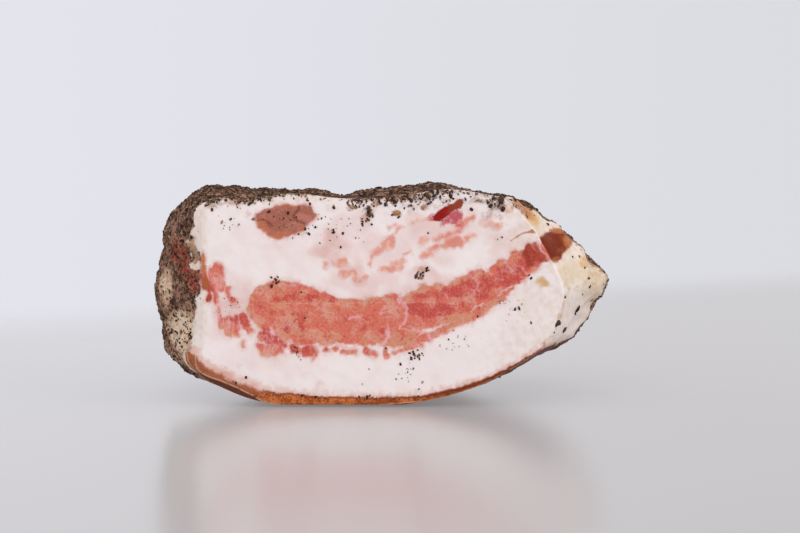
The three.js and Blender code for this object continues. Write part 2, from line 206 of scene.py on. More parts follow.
# Soft patches of tan, red, dark and amber: x, z, half width, half height, tilt in degrees and strength
TAN_PATCHES = [
    (41.2, 49.6, 2.8, 2.2, 20, 1.3), (9.4, 38.2, 1.9, 2, 0, 1), (13.9, 41, 2.8, 2, 0, 1),
    (19.4, 41.3, 2.6, 1.8, 0, 1), (26, 42.4, 3.8, 1.8, 25, 1), (35.6, 46.2, 3.2, 1.8, 30, 0.9),
    (41.2, 49, 2.2, 1.8, 0, 0.9), (45.8, 51.8, 2.4, 2, 0, 0.8), (-30, 25, 9, 4, -8, 0.7),
    (-18, 22.6, 7, 2.6, 0, 0.8), (-3, 22, 6, 3, 0, 0.9), (6, 22.6, 6, 3.2, 10, 1),
    (12, 25, 4, 1.6, 5, 0.8), (26, 30.4, 7, 1.9, 14, 1), (32.6, 33.4, 3, 1.6, 40, 0.7),
    (-27, 30, 9, 3.4, 0, 0.5), (-10, 34.6, 7, 1.8, 0, 0.6), (3.4, 36.6, 3.4, 1.6, 0, 0.6),
    (-3.5, 36.5, 3, 1.2, 0, 0.5), (-52, 24.2, 3.4, 1.6, 0, 1), (-56.6, 46.5, 1.8, 3, 0, 0.6),
    (-55, 27.6, 1.6, 2, 0, 0.6), (-48.2, 21.4, 1.4, 2.4, 0, 0.9), (-38.6, 17.8, 3.4, 1.6, 0, 0.9),
    (-40.6, 61.6, 4.4, 2, -48, 1), (-35, 58.8, 6, 2, 8, 1), (-28, 61, 3, 2, 40, 0.6),
    (-33, 69, 10, 0.9, 3, 0.7), (29, 29.2, 8, 2, 20, 1), (38.6, 34.4, 7, 1.8, 36, 1),
    (-12, 34, 12, 2.4, -4, 0.5), (-34, 36, 6, 6, 0, 0.45), (-12, 18.7, 2.2, 1.4, 0, 0.8),
    (-9, 18.3, 2, 1.2, 0, 1), (51.6, 55.6, 3, 1.6, 10, 0.8), (24, 28, 3, 1.2, 14, 0.8),
    (4.8, 18, 2.4, 1.4, 0, 0.6), (23.6, 25.4, 2.2, 1, 0, 0.7),
]
RED_PATCHES = [
    (-28, 37, 12, 2, 0, 0.8), (-18, 36.6, 5, 1.8, -10, 0.6), (13, 33.4, 5.4, 4, 0, 1),
    (20, 32.8, 7, 3.4, 10, 0.9), (13, 38.2, 6, 1.6, 5, 0.8), (22, 38.6, 6, 1.8, 10, 0.7),
    (30, 37, 7, 3.6, 30, 0.8), (39, 42.6, 7, 3.6, 32, 0.8), (-5.5, 28.5, 6, 3.4, 0, 0.35),
    (45.6, 46, 10, 4, 38, 1), (0.9, 25.6, 2.4, 2, 0, 0.8), (30, 41, 12, 4, 30, 0.6),
    (22.6, 57, 9, 4, 10, 0.9), (29, 63.4, 5, 2.4, 20, 1), (-56.4, 36.5, 1.8, 2.4, 0, 1),
    (-52.8, 36.2, 1.8, 1.8, 0, 1), (-50.6, 29.8, 2.4, 1.8, 0, 0.9), (-46.8, 29.6, 2.6, 3.8, 30, 1.4),
    (-53.4, 30, 3, 2.4, 0, 1), (-59, 40, 1.8, 5, 0, 0.7), (-55.8, 30.5, 1.6, 3, 0, 0.6),
    (-38.6, 23, 4.6, 3.4, -20, 1.6), (34, 39.6, 6, 4, 30, 1), (-31, 28, 5, 4, 0, 0.8),
    (-35, 21, 3, 2, 0, 1), (-30, 19.4, 2.4, 2, 0, 1.4), (-24.8, 18.6, 3.4, 2.2, 0, 1.1),
    (-19.3, 19.3, 1.6, 1.6, 0, 0.7), (-4.2, 18.5, 1.8, 1.6, 0, 0.7), (8.6, 20, 2.4, 1.6, 0, 0.6),
    (18.6, 24.2, 2.6, 1.2, 0, 0.6),
]
DARK_PATCHES = [
    (52.2, 52.6, 5, 5.6, -30, 0.6), (55, 51, 3, 4, 20, 0.5), (-60.6, 41.5, 2, 5, 12, 0.6),
    (-59.2, 37, 1.4, 2, 0, 0.5),
]
AMBER_PATCHES = [
    (-61.9, 48.6, 2.2, 5.5, 0, 0.95), (-60.9, 42.4, 2, 4.4, 12, 0.6), (5.5, 66.4, 1.8, 1.4, 0, 1),
    (14.3, 68.4, 2, 1.5, 10, 0.8), (12.6, 47, 1.8, 1.6, 0, 0.3), (40, 67.4, 3.4, 4, 0, 0.45),
    (-10.2, 68.6, 2.2, 1.5, 0, 0.7), (-5.4, 64.6, 2.6, 2, 30, 0.5), (-1.2, 69.8, 1.4, 1.4, 0, 0.7),
    (-43.9, 64.6, 1.2, 1, 0, 0.6), (-22.8, 66, 0.9, 2, 0, 0.7), (56.7, 20.6, 0.8, 1.2, 10, 1),
    (14.2, 7.9, 0.8, 1, 0, 0.6), (14.4, 46.4, 2.4, 2, 0, 0.6), (-60.6, 70, 3.4, 2.6, 0, 0.6),
    (-50, 69.8, 9, 1.4, 0, 0.6), (-40, 70.6, 6, 0.8, 0, 0.4), (2, 70, 6, 1.4, 0, 0.4),
    (44.6, 69.4, 1.8, 1.2, -40, 0.6), (-46, 66, 3, 2.4, 20, 0.3), (-16.6, 68, 2.6, 2.6, 0, 0.3),
    (10.6, 17.4, 4, 2, 0, 0.3),
]
# Golden stains: in the cut, and on the facet
GOLD_PATCHES = [(55.6, 42.6, 2.4, 2.2, 0, 0.8), (43.6, 68, 3.4, 2, -40, 0.5)]
FACET_GOLD = [(52.2, 65, 5, 2.4, -48, 1), (71, 48.4, 2.4, 2.2, 0, 0.7), (62, 30.6, 2.4, 2, 0, 0.5)]
# Pink haze in the fat, and the pinker lobe of the oval eye
BLUSH_PATCHES = [
    (20, 60, 18, 8, 12, 0.7), (0, 54, 10, 9, 0, 0.5), (-18.5, 55, 8, 6, 0, 1.1),
    (-14, 50, 9, 6, -40, 0.9), (-11, 46, 7, 4, -20, 0.9), (-10, 60, 8, 5, 0, 0.5), (6, 42, 34, 6, 4, 0.6),
    (16, 45, 9, 4, 10, 0.7), (26, 62.5, 6, 5, 0, 0.9), (13, 64.4, 6, 2.4, 10, 0.6),
    (-37, 60, 12, 7, 0, 0.25), (-28, 52, 20, 8, 0, 0.15), (48, 58.6, 6, 3, 15, 0.5),
    (41, 57, 9, 5, 20, 0.6), (38.6, 64.4, 4.4, 3, 10, 0.9), (-25.4, 66.2, 3.2, 3.2, 0, 1.4),
    (-52, 34, 10, 13, 0, 0.75), (-40, 16, 14, 7, 0, 0.3), (-52, 9.4, 9, 3, -34, 1),
    (-30, 6.6, 10, 2, -4, 0.7),
]
# Magenta tissue under the small dark eye
MAGENTA_PATCHES = [
    (25.4, 65.6, 3.2, 3, 30, 1.6), (22.6, 64, 3, 1.6, 30, 1.1), (27.4, 62.8, 2.4, 1.8, 0, 0.6),
    (17.6, 64.8, 2.6, 1.8, 20, 0.9), (-50, 33.6, 4, 2.6, 0, 0.3),
]
# Grey dust of ground pepper on the cut
DUST_PATCHES = [
    (-4.2, 66.6, 3, 3.4, 30, 0.9), (3.8, 70.8, 3.6, 2.4, 0, 1), (14, 71.6, 10, 2, 4, 0.8),
    (22, 70.6, 13, 4, 4, 0.42), (6, 68.4, 8, 3.4, 0, 0.36), (39.6, 70, 3.6, 3.6, 20, 1.15),
    (38.8, 66.8, 3.4, 2.8, 0, 0.6), (32, 71, 5, 1.6, -8, 0.7), (-58, 69.4, 3.6, 2.4, 0, 0.5),
]
# How far below the upper edge the dust reaches, by place across
TOP_DUST = [
    (-64, 2.6), (-54, 1.6), (-44, 1.2), (-30, 0.9), (-16, 0.5), (-9, 1.4), (-2, 2.6), (6, 2.2), (12, 3.6),
    (26, 3.6), (32, 2), (36, 2.6), (44, 3), (50, 0.5),
]

# Upper edge of the rind in the cut, by place across
RIND_TOP = [
    (-64, 17.6), (-61, 14.2), (-57, 11.6), (-52, 9.2), (-46, 7.2), (-42.4, 5.2), (-39.3, 5), (-36.7, 3.9),
    (-31, 3.9), (-25.6, 3.2), (-21, 2.9), (-14.4, 2.7), (-4.2, 2.6), (6, 2.7), (12.8, 3.1), (19.5, 4.2),
    (26.4, 6), (33.3, 8), (40, 10.9), (46.7, 14.4), (53.6, 18.4), (60, 22.6),
]
# How far above the cut's lower edge the rind's pale lip lies, by place across
LIP = [
    (-64.6, 0), (-61, 0.9), (-56, 1.9), (-50, 2.1), (-45, 1.4), (-41.6, 0.2), (-38, 0), (-8, 0), (0, 0.6),
    (9, 0.5), (14, 0),
]
# Upper edge of the rind round the sides
SIDE_RIND_TOP = [
    (-80, 10), (-72, 13), (-67.4, 19), (-63, 17), (-58, 11), (-40, 10), (34, 7.6), (40, 10), (46, 12.8),
    (52, 16.4), (57, 19.6), (62, 20.4), (68, 21), (72, 25), (75, 28.6), (80, 30),
]
# How far the crust reaches over the upper edge of the cut
CRUST_OVER = [
    (-62, -0.4), (-57, -0.3), (-52, -0.3), (-46, 0), (-40, 0), (-34, -0.2), (-28, -0.5), (-14, -0.5),
    (-8, -0.1), (2, 0.3), (12, 0.1), (20, -0.5), (30, -0.9), (40, -0.6), (44, -1.2), (47, -6), (70, -8),
]

# The knife's score across the streak: from and to across, a place on it, and its slope
SCORE_ENDS, SCORE_PLACE, SCORE_SLOPE = (-55, 36), (-53, 34.9), 0.012
# Between these places across, the rind turns into the softer one on the left
SOFT_RIND = (-37, -47)

# The facet, and the left side where things are placed one by one: beyond this place across, and less than
# this far behind the cut
FACET_REACH = (45, 24)
LEFT_REACH = (-55, 40)
# Where the facet's grains are looked up: right of the first number, and from and to behind the cut
FACET_SEARCH = (44, 0.6, 17.5)
# The dried end of the streak on the facet, clockwise from its upper left
DRIED_END = [
    (54.4, 57.9), (57.4, 59.4), (60.4, 60.3), (63.4, 60.4), (65.2, 59), (67.8, 56.6), (67.2, 54.8),
    (64.8, 53.2), (63.2, 51.8), (62.6, 50.4), (61, 49.4), (59.4, 49.6), (57.4, 51.4), (56.2, 53.4),
    (54.8, 55.4),
]
# Amber stains of the facet
FACET_AMBER = [
    (47.6, 70, 3.4, 2.2, -48, 1.3), (50, 67.4, 5.4, 1.8, -48, 1), (65.6, 56.2, 2.6, 2.8, 0, 0.95),
    (60.4, 50.2, 2, 1.4, 0, 0.7), (61.6, 59.6, 3.4, 1.4, -10, 0.9), (72.6, 43, 1, 0.6, 0, 1),
    (74.6, 41, 0.9, 0.8, 0, 0.7), (74, 46, 3, 9, 30, 0.35),
]
# Where the facet dried most, and its creases
FACET_AGED = [(66.5, 45.6, 6, 4.4, 20, 0.25), (53, 63, 8, 4, -48, 0.15)]
FACET_CREASES = [(63.4, 47.5, 64.6, 40, 0.3), (64.6, 40, 59.4, 22.4, 0.3), (64.6, 40, 72, 42, 0.6)]
# Lean that shows through the pepper on the left side, and the stretch where little pepper stuck
SIDE_FLESH = [(-68.6, 49.4, 3.2, 6.4, 0, 1.2), (-65.4, 43, 3.4, 5, 0, 1.3), (-71.6, 53, 3.6, 6, 0, 0.9)]
SIDE_PALE = [
    (-70, 25, 7, 9, 0, 1.6), (-71, 15.6, 6, 4, -30, 0.7), (-75.6, 40, 3.4, 9, 0, 1.2),
    (-65, 56, 3, 14, 0, 0.8), (-72, 60, 5, 5, 0, 0.6), (-64, 68, 3, 4, 0, 0.7),
]

# Single dark and amber grains on the cut: x, z, radius
SPECKS = [
    (-61.3, 70.3, 0.7), (-62.4, 72.1, 0.5), (-58.2, 67.6, 0.5), (-51.7, 64.4, 0.4), (-45.2, 69.6, 0.6),
    (-38.6, 66.9, 0.5), (-37, 65.3, 0.35), (-32, 66.4, 0.5), (-29.2, 65.1, 0.4), (-25.4, 70.9, 0.45),
    (-24.5, 69.8, 0.5), (-26.2, 61, 0.45), (-24.9, 59.3, 0.45), (-28.4, 59.3, 0.35), (-22.7, 61.6, 0.4),
    (-20.5, 64.6, 0.35), (-16.3, 68.3, 0.55), (-16.5, 60.7, 0.5), (-16.4, 59.8, 0.5), (-13.2, 59.5, 0.5),
    (-30.4, 57.9, 0.3), (-37.9, 41.2, 0.7), (-26.4, 30.1, 0.3), (-14, 54.7, 0.45), (-6.4, 62.5, 0.5),
    (-3.3, 62.6, 0.45), (-7.6, 68.6, 0.35), (-6.1, 69.1, 0.35), (-6.7, 70.5, 0.4), (1.4, 69.4, 0.6),
    (4.9, 69, 0.5), (6, 65, 0.4), (3.8, 65.8, 0.4), (8, 68.1, 0.35), (10.5, 70.8, 0.7),
    (16.2, 72.2, 0.75), (16.4, 69.8, 0.45), (23.8, 72.3, 0.65), (24.5, 73.7, 0.5), (31.1, 67.7, 0.6),
    (37.7, 69.1, 0.7), (41.4, 71, 1.15), (41.8, 67.8, 0.95), (39.6, 72, 0.7), (36.6, 70.4, 0.6),
    (41.7, 58.2, 0.35), (16.2, 59.6, 0.3), (40.2, 57.4, 0.2), (1.6, 19.7, 0.45), (6.6, 14.1, 0.5),
    (5.1, 8.9, 0.3), (9.5, 8, 0.25), (13, 5.4, 0.3), (-4.2, 12.4, 0.25), (-6.6, 7.2, 0.25),
    (-7.7, 2.9, 0.4), (-4.9, 2.8, 0.45), (-22.8, 2.6, 0.5), (-46.9, 9.6, 0.5), (-50.3, 7.5, 0.4),
    (23.3, 22.8, 0.3), (33.3, 30.8, 0.3), (46.3, 33.2, 0.4), (47.7, 33.5, 0.45), (51.8, 28.7, 0.4),
    (51.8, 44, 0.4), (51, 45, 0.35),
]
AMBER_SPECKS = [
    (-54.8, 63.4, 0.45), (5.4, 66.5, 0.9), (4.8, 66.2, 0.5), (14.3, 68.3, 0.5), (14.3, 7.8, 0.45),
    (56.7, 20.7, 0.8), (-43.9, 64.5, 0.5), (-48.9, 62.6, 0.3), (62.2, 30, 0.55), (-10.1, 68.6, 0.7),
    (-1.1, 69.7, 0.6),
]
# Grains on the facet beside the cut
FACET_SPECKS = [
    (58.7, 29.2, 0.85), (61.9, 28, 0.8), (63.9, 25.6, 0.85), (60.8, 20.4, 0.5), (58.6, 61.8, 0.6),
    (49.6, 68.8, 0.6), (52.4, 67, 0.45), (68.6, 32.4, 0.9), (67.8, 30.8, 0.5), (72.6, 43.2, 0.5),
    (70.4, 37.4, 0.4), (73, 40.4, 0.5), (46.8, 70.8, 0.6), (71.6, 46.8, 0.4), (69.6, 50.6, 0.4),
]
# Clusters of grains on the cut: x, z, half width, half height, number and radius
CLUSTERS = [
    (-36.6, 43.6, 2.2, 1.3, 8, 0.32), (-4, 66.4, 1.5, 2.6, 30, 0.34), (-6.4, 64, 1.6, 0.7, 6, 0.3),
    (-7.4, 69.4, 3.6, 1.2, 12, 0.3), (3.9, 70.8, 1.9, 1.5, 22, 0.4), (-33, 63.6, 3, 3.4, 34, 0.16),
    (13.4, 45.4, 1.6, 1.8, 16, 0.4), (15.6, 46.6, 1, 1, 6, 0.34), (11.6, 17.4, 3.4, 1.8, 18, 0.32),
    (8.6, 12, 4, 3.4, 12, 0.18), (38.8, 70, 2.4, 1.8, 5, 0.4), (-30, 18.8, 1.6, 1.6, 8, 0.28),
    (-28.4, 17, 1.6, 2, 5, 0.18), (25, 22, 6, 4, 12, 0.16), (44, 33, 6, 4, 14, 0.18),
    (-20, 63, 8, 7, 22, 0.17), (-9, 62, 8, 6, 18, 0.16), (14, 71, 9, 2, 20, 0.26),
    (-52, 64, 6, 5, 12, 0.18), (-52, 32, 6, 6, 10, 0.18), (-37, 3, 14, 1, 18, 0.22),
    (2, 2.4, 14, 1, 20, 0.22), (16, 73, 3, 1.2, 10, 0.5),
]
# Grains that thin out below the upper edge of the cut: from and to across, number, mean depth and radius
TOP_STRIPS = [
    (-62, -56, 28, 1.2, 0.3), (-58, -48, 34, 0.5, 0.28), (-50, -38, 54, 0.7, 0.28),
    (-38, -26, 30, 0.5, 0.26), (-26, -12, 14, 0.5, 0.24), (-12, -2, 34, 0.8, 0.32), (-3, 12, 64, 1, 0.34),
    (10, 27, 50, 1.3, 0.36), (26, 37, 12, 0.8, 0.32), (35, 44, 10, 0.8, 0.34),
]

# How far the crust has settled on top, by place across, and how far the left side swells, by height
TOP_SETTLED = [
    (-48, 0), (-39, 1.6), (-32, 1.8), (-26, -0.5), (-22, -0.4), (-14, 0.3), (-4, 1.1), (5, 1.4),
    (13, 1.1), (20, 0.3), (26, 1.4), (33, 2.1), (38, 1), (44, 0.3), (52, 1), (57, 1.6), (62, 0),
]
LEFT_SWELLING = [
    (14, 0), (26, 0.6), (34, 1.3), (42, 0.4), (50, -0.6), (54, -1.3), (59, -0.1), (66, -0.4), (72, -1.8),
]

# Steps of the block's mesh
CUT_STEPS = (280, 140)
FRONT_ROWS, FRONT_REACH = 24, 0.8  # fine rows of the wall behind the cut
SHOULDER_ROWS, BACK_ROWS = 4, 88
# What a place on the surface is made of, with the places of painted light and shade, as attributes of the
# meshes
FIELDS = (
    "lean", "tan", "red", "dark", "amber", "vein", "pale", "blush", "aged", "magenta", "gland", "oval",
    "rind", "crust", "dust", "bare", "score", "edge", "fibrous", "skin", "soft", "gold",
)


def smoothstep(low, high, value):
    """0 up to low, 1 from high on, and 3t^2 - 2t^3 between them."""
    part = np.clip((value - low) / (high - low), 0, 1)
    return part * part * (3 - 2 * part)


def along(table, place):
    """Straight lines through a table of (place, value) rows."""
    places, values = zip(*table)
    return np.interp(place, places, values)


def closed_spline(points, share):
    """Uniform Catmull-Rom curve once round the points: each span is the cubic through two neighbours whose
    slopes are half the difference of the points beside them."""
    count = len(points)
    place = np.asarray(share) * count
    start = np.floor(place).astype(int)
    t = (place - start)[..., None]
    before, here, after, beyond = (points[(start + step) % count] for step in (-1, 0, 1, 2))
    square = 2 * before - 5 * here + 4 * after - beyond
    cube = 3 * (here - after) + beyond - before
    return here + 0.5 * ((after - before) * t + square * t**2 + cube * t**3)


def open_spline(points, steps):
    """Even steps along a Catmull-Rom curve through points, whose ends are mirrored to give them a slope."""
    points = np.array(points, float)
    padded = np.vstack([2 * points[0] - points[1], points, 2 * points[-1] - points[-2]])
    count = len(padded)
    share = np.linspace(1, count - 2, 40 * count) / count
    share[-1] -= 1e-9
    return even_steps(closed_spline(padded, share), steps)


def even_steps(line, steps):
    """Points that cut a polyline into equal lengths."""
    lengths = np.concatenate([[0], np.cumsum(np.linalg.norm(np.diff(line, axis=0), axis=1))])
    wanted = np.linspace(0, lengths[-1], steps + 1)
    return np.stack([np.interp(wanted, lengths, line[:, axis]) for axis in range(line.shape[1])], axis=1)


def value_noise(points, size, seed):
    """Noise from -1 to 1: random values at the corners of a lattice of cubes, blended smoothly inside."""
    scaled = points / size
    cell = np.floor(scaled).astype(np.int64)
    part = scaled - cell
    part = part * part * (3 - 2 * part)
    total = np.zeros(points.shape[:-1])
    for corner in np.ndindex(2, 2, 2):
        weight = np.prod(np.where(np.array(corner) == 1, part, 1 - part), axis=-1)
        mixed = ((cell + corner) * (73856093, 19349663, 83492791)).sum(axis=-1) + seed * 6271
        mixed = ((mixed ^ (mixed >> 13)) & 0x7FFFFFFF) * 1274126177
        mixed = (mixed ^ (mixed >> 15)) & 0xFFFF
        total += weight * mixed / 0x8000
    return total - 1


def fractal(points, size, octaves, seed):
    """Sum of noises, each half the size and half the height of the one before."""
    return sum(value_noise(points, size / 2**i, seed + i) / 2**i for i in range(octaves))


def strokes(x, z, rows):
    """How deep a place lies inside the nearest of some round-ended strokes, negative outside."""
    depth = np.full(x.shape, -float(FAR))
    for x0, z0, x1, z1, radius in rows:
        run = np.array([x1 - x0, z1 - z0])
        length = max(run @ run, 1e-9)
        part = np.clip(((x - x0) * run[0] + (z - z0) * run[1]) / length, 0, 1)
        depth = np.maximum(depth, radius - np.hypot(x - x0 - part * run[0], z - z0 - part * run[1]))
    return depth


def patches(x, z, rows):
    """Strength of soft tilted ellipses, full up to a third of their reach and nothing past it."""
    strength = np.zeros(x.shape)
    for x0, z0, wide, high, tilt, amount in rows:
        turn = math.radians(tilt)
        across = ((x - x0) * math.cos(turn) + (z - z0) * math.sin(turn)) / wide
        up = ((z - z0) * math.cos(turn) - (x - x0) * math.sin(turn)) / high
        strength = np.maximum(strength, amount * (1 - smoothstep(0.35, 1.25, np.hypot(across, up))))
    return strength


def depth_inside(x, z, outline):
    """Distance to a closed polyline, positive inside it by the even-odd rule."""
    nearest = np.full(x.shape, np.inf)
    inside = np.zeros(x.shape, bool)
    for (x0, z0), (x1, z1) in zip(outline, np.roll(outline, -1, axis=0)):
        run_x, run_z = x1 - x0, z1 - z0
        length = run_x**2 + run_z**2
        part = np.clip(((x - x0) * run_x + (z - z0) * run_z) / length, 0, 1)
        nearest = np.minimum(nearest, np.hypot(x - x0 - part * run_x, z - z0 - part * run_z))
        if run_z:
            crossed = ((z0 > z) != (z1 > z)) & (x < x0 + (z - z0) / run_z * run_x)
            inside ^= crossed
    return np.where(inside, nearest, -nearest)


def round_outline(points, steps):
    """A closed smooth outline cut into even steps, its first point not repeated at the end."""
    points = np.array(points, float)
    return even_steps(closed_spline(points, np.linspace(0, 1, 40 * len(points) + 1)), steps)[:-1]


def band_outline(steps):
    """The streak's outline, clockwise from the left end: the upper edge, then back along the lower."""
    high, low = (open_spline(edge, steps) for edge in (BAND_HIGH, BAND_LOW))
    return np.vstack([high, low[:0:-1]])


BAND = band_outline(110)
OVAL_LINE = round_outline(OVAL, 60)
GLAND_LINE = round_outline(GLAND, 40)
CUT_LINE = closed_spline(OUTLINE[:, :2], np.linspace(0, 1, 240, endpoint=False))

# A piece of lean: its outline in the cut; where the four sides of its filling begin, as numbers of outline
# points (lower left, upper left, upper right, lower right); steps across and up; how it runs back into the
# fat, as depth behind the cut and shares of its width and thickness; the node that it replaces and the slot
Lean = namedtuple("Lean", "outline corners steps run node slot")
LEANS = {
    "lean_band": Lean(
        BAND, (214, 6, 110, 111), (400, 64),
        [(1, 1, 0.98), (13, 1, 0.97), (39, 0.7, 0.85), (80, 0.45, 0.4)], "lean_streak", "lean",
    ),
    "lean_oval": Lean(
        OVAL_LINE, (55, 7, 25, 37), (110, 60),
        [(1, 0.99, 0.99), (10, 0.9, 0.9), (18, 0.62, 0.62), (23, 0.25, 0.25)], "lean_eye_large", "lean_brown",
    ),
    "lean_gland": Lean(
        GLAND_LINE, (38, 3, 17, 23), (60, 30),
        [(1, 0.99, 0.99), (6, 0.9, 0.9), (11, 0.6, 0.6), (13.5, 0.25, 0.25)], "lean_eye_small", "lean_dark",
    ),
}


def top_of_cut(x):
    """Height of the cut's upper edge above a place across, from the upper left corner to the right tip."""
    upper = closed_spline(OUTLINE[:, :2], np.linspace(*TOP_SPAN, 300) / len(OUTLINE))
    order = np.argsort(upper[:, 0])
    return np.interp(x, upper[order, 0], upper[order, 1])


def in_plane(x, z):
    """Places of the front view as points of the plane y = 0."""
    return np.stack([x, np.zeros_like(x), z], axis=-1)


def frayed(x, z):
    """A place on the cut moved about a little, which frays and bends whatever is drawn there."""
    places = in_plane(x, z)
    across, up = (
        0.5 * value_noise(places, 1.4, seed) + 0.6 * value_noise(places, 3.6, seed + 1) for seed in (81, 91)
    )
    return x + across, z + up


def cut_fields(x, z):
    """What the cut is made of at each place: depths inside shapes in millimetres, and strengths. The cream
    along its upper left edge is partly painted shade.
    """
    edge = depth_inside(x, z, CUT_LINE)
    from_top = top_of_cut(x) - z
    fx, fz = frayed(x, z)
    places = in_plane(x, z)
    cloud_x, cloud_z = fx + 4 * fractal(places, 7, 2, 101), fz + 4 * fractal(places, 7, 2, 111)
    band, oval = (depth_inside(fx, fz, line) for line in (BAND, OVAL_LINE))
    gland = depth_inside(0.6 * x + 0.4 * fx, 0.6 * z + 0.4 * fz, GLAND_LINE)
    left_rim = smoothstep(3.4, 0.2, band) * smoothstep(-1, 0.4, band)
    left_rim = left_rim * smoothstep(-28, -38, x) * smoothstep(25, 31, z)
    creases = smoothstep(-0.5, 0.1, strokes(fx, fz, DARK_LINES))
    amber_line = smoothstep(-0.4, 0.1, strokes(x, z, AMBER_LINES))
    # Cream along the cut's upper left edge: partly dried fat, partly painted shade along the edge
    edge_cream_and_shade = 0.45 * smoothstep(4, 0, edge) * smoothstep(12, 20, z) * smoothstep(30, -40, x)
    top_dust = 0.75 * smoothstep(1, 0, from_top / along(TOP_DUST, x)) * smoothstep(47, 42, x)
    scored = (x > SCORE_ENDS[0]) & (x < SCORE_ENDS[1])
    score = z - SCORE_PLACE[1] - SCORE_SLOPE * (x - SCORE_PLACE[0])
    return {
        "lean": np.maximum.reduce([band, oval, strokes(fx, fz, SHREDS), strokes(fx, fz, BEADS)]),
        "tan": np.maximum(patches(fx, fz, TAN_PATCHES), 0.8 * left_rim),
        "red": patches(fx, fz, RED_PATCHES),
        "dark": np.maximum(patches(fx, fz, DARK_PATCHES), 0.7 * creases),
        "amber": np.maximum(patches(fx, fz, AMBER_PATCHES), amber_line),
        "vein": strokes(fx, fz, VEINS),
        "pale": strokes(fx, fz, PALE_STREAKS),
        "blush": patches(cloud_x, cloud_z, BLUSH_PATCHES),
        # Dried fat, with painted shade along the upper left edge, and creamier towards the right
        "aged": edge_cream_and_shade + 0.32 * smoothstep(26, 50, x),
        "magenta": patches(fx, fz, MAGENTA_PATCHES),
        "gland": gland,
        "oval": oval,
        "rind": along(RIND_TOP, x) - z,
        "crust": along(CRUST_OVER, x) - from_top,
        "dust": np.maximum(patches(cloud_x, z, DUST_PATCHES), top_dust),
        "bare": np.full(x.shape, 0.3),
        "score": np.where(scored, score, FAR),
        "edge": edge - along(LIP, x) * smoothstep(20, 16, z),
        "fibrous": patches(x, z, FIBROUS_PATCHES),
        "skin": np.zeros(x.shape),
        "soft": smoothstep(*SOFT_RIND, x),
        "gold": patches(fx, fz, GOLD_PATCHES),
    }


def side_rind(points, behind):
    """Depth below the rind's wandering upper edge, and how far back the knife cut it on the left."""
    x, z = points[..., 0], points[..., 2]
    cut_back = 3.2 * smoothstep(-56, -60, x) * smoothstep(9, 15, z) * smoothstep(23, 18, z)
    wander = (0.3 + 1.7 * smoothstep(4, 20, behind)) * value_noise(points, 9, 31)
    rind = along(SIDE_RIND_TOP, x) + 4 * smoothstep(15, 60, behind) + wander - z
    lowered = 9 * smoothstep(0.2, 1.6, behind - cut_back) * smoothstep(34, 16, behind)
    return rind - lowered * smoothstep(-62, -65, x), cut_back


def side_flesh(points, behind, near_left):
    """How much dried flesh shows: placed one by one on the left, by noise farther back."""
    placed = np.where(near_left, patches(points[..., 0], points[..., 2], SIDE_FLESH), 0)
    grown = value_noise(points, 19, 57) + 0.5 * value_noise(points, 7, 58)
    return np.maximum(placed, 0.36 * smoothstep(0.1, 0.8, grown) * smoothstep(8, 20, behind))


def side_bare(points, behind, near_left):
    """How bare of pepper the side is: placed one by one on the left, elsewhere by noise, more towards the
    rind, and nowhere on top near the cut."""
    x, z = points[..., 0], points[..., 2]
    spread = 0.3 + 0.75 * value_noise(points, 24, 55) + 0.35 * value_noise(points, 9, 56)
    spread = (spread + 0.5 * smoothstep(36, 14, z)) * smoothstep(2, 12, behind)
    on_top = smoothstep(56, 64, z) * smoothstep(50, 25, behind)
    return np.where(near_left, patches(x, z, SIDE_PALE), spread) * (1 - on_top)


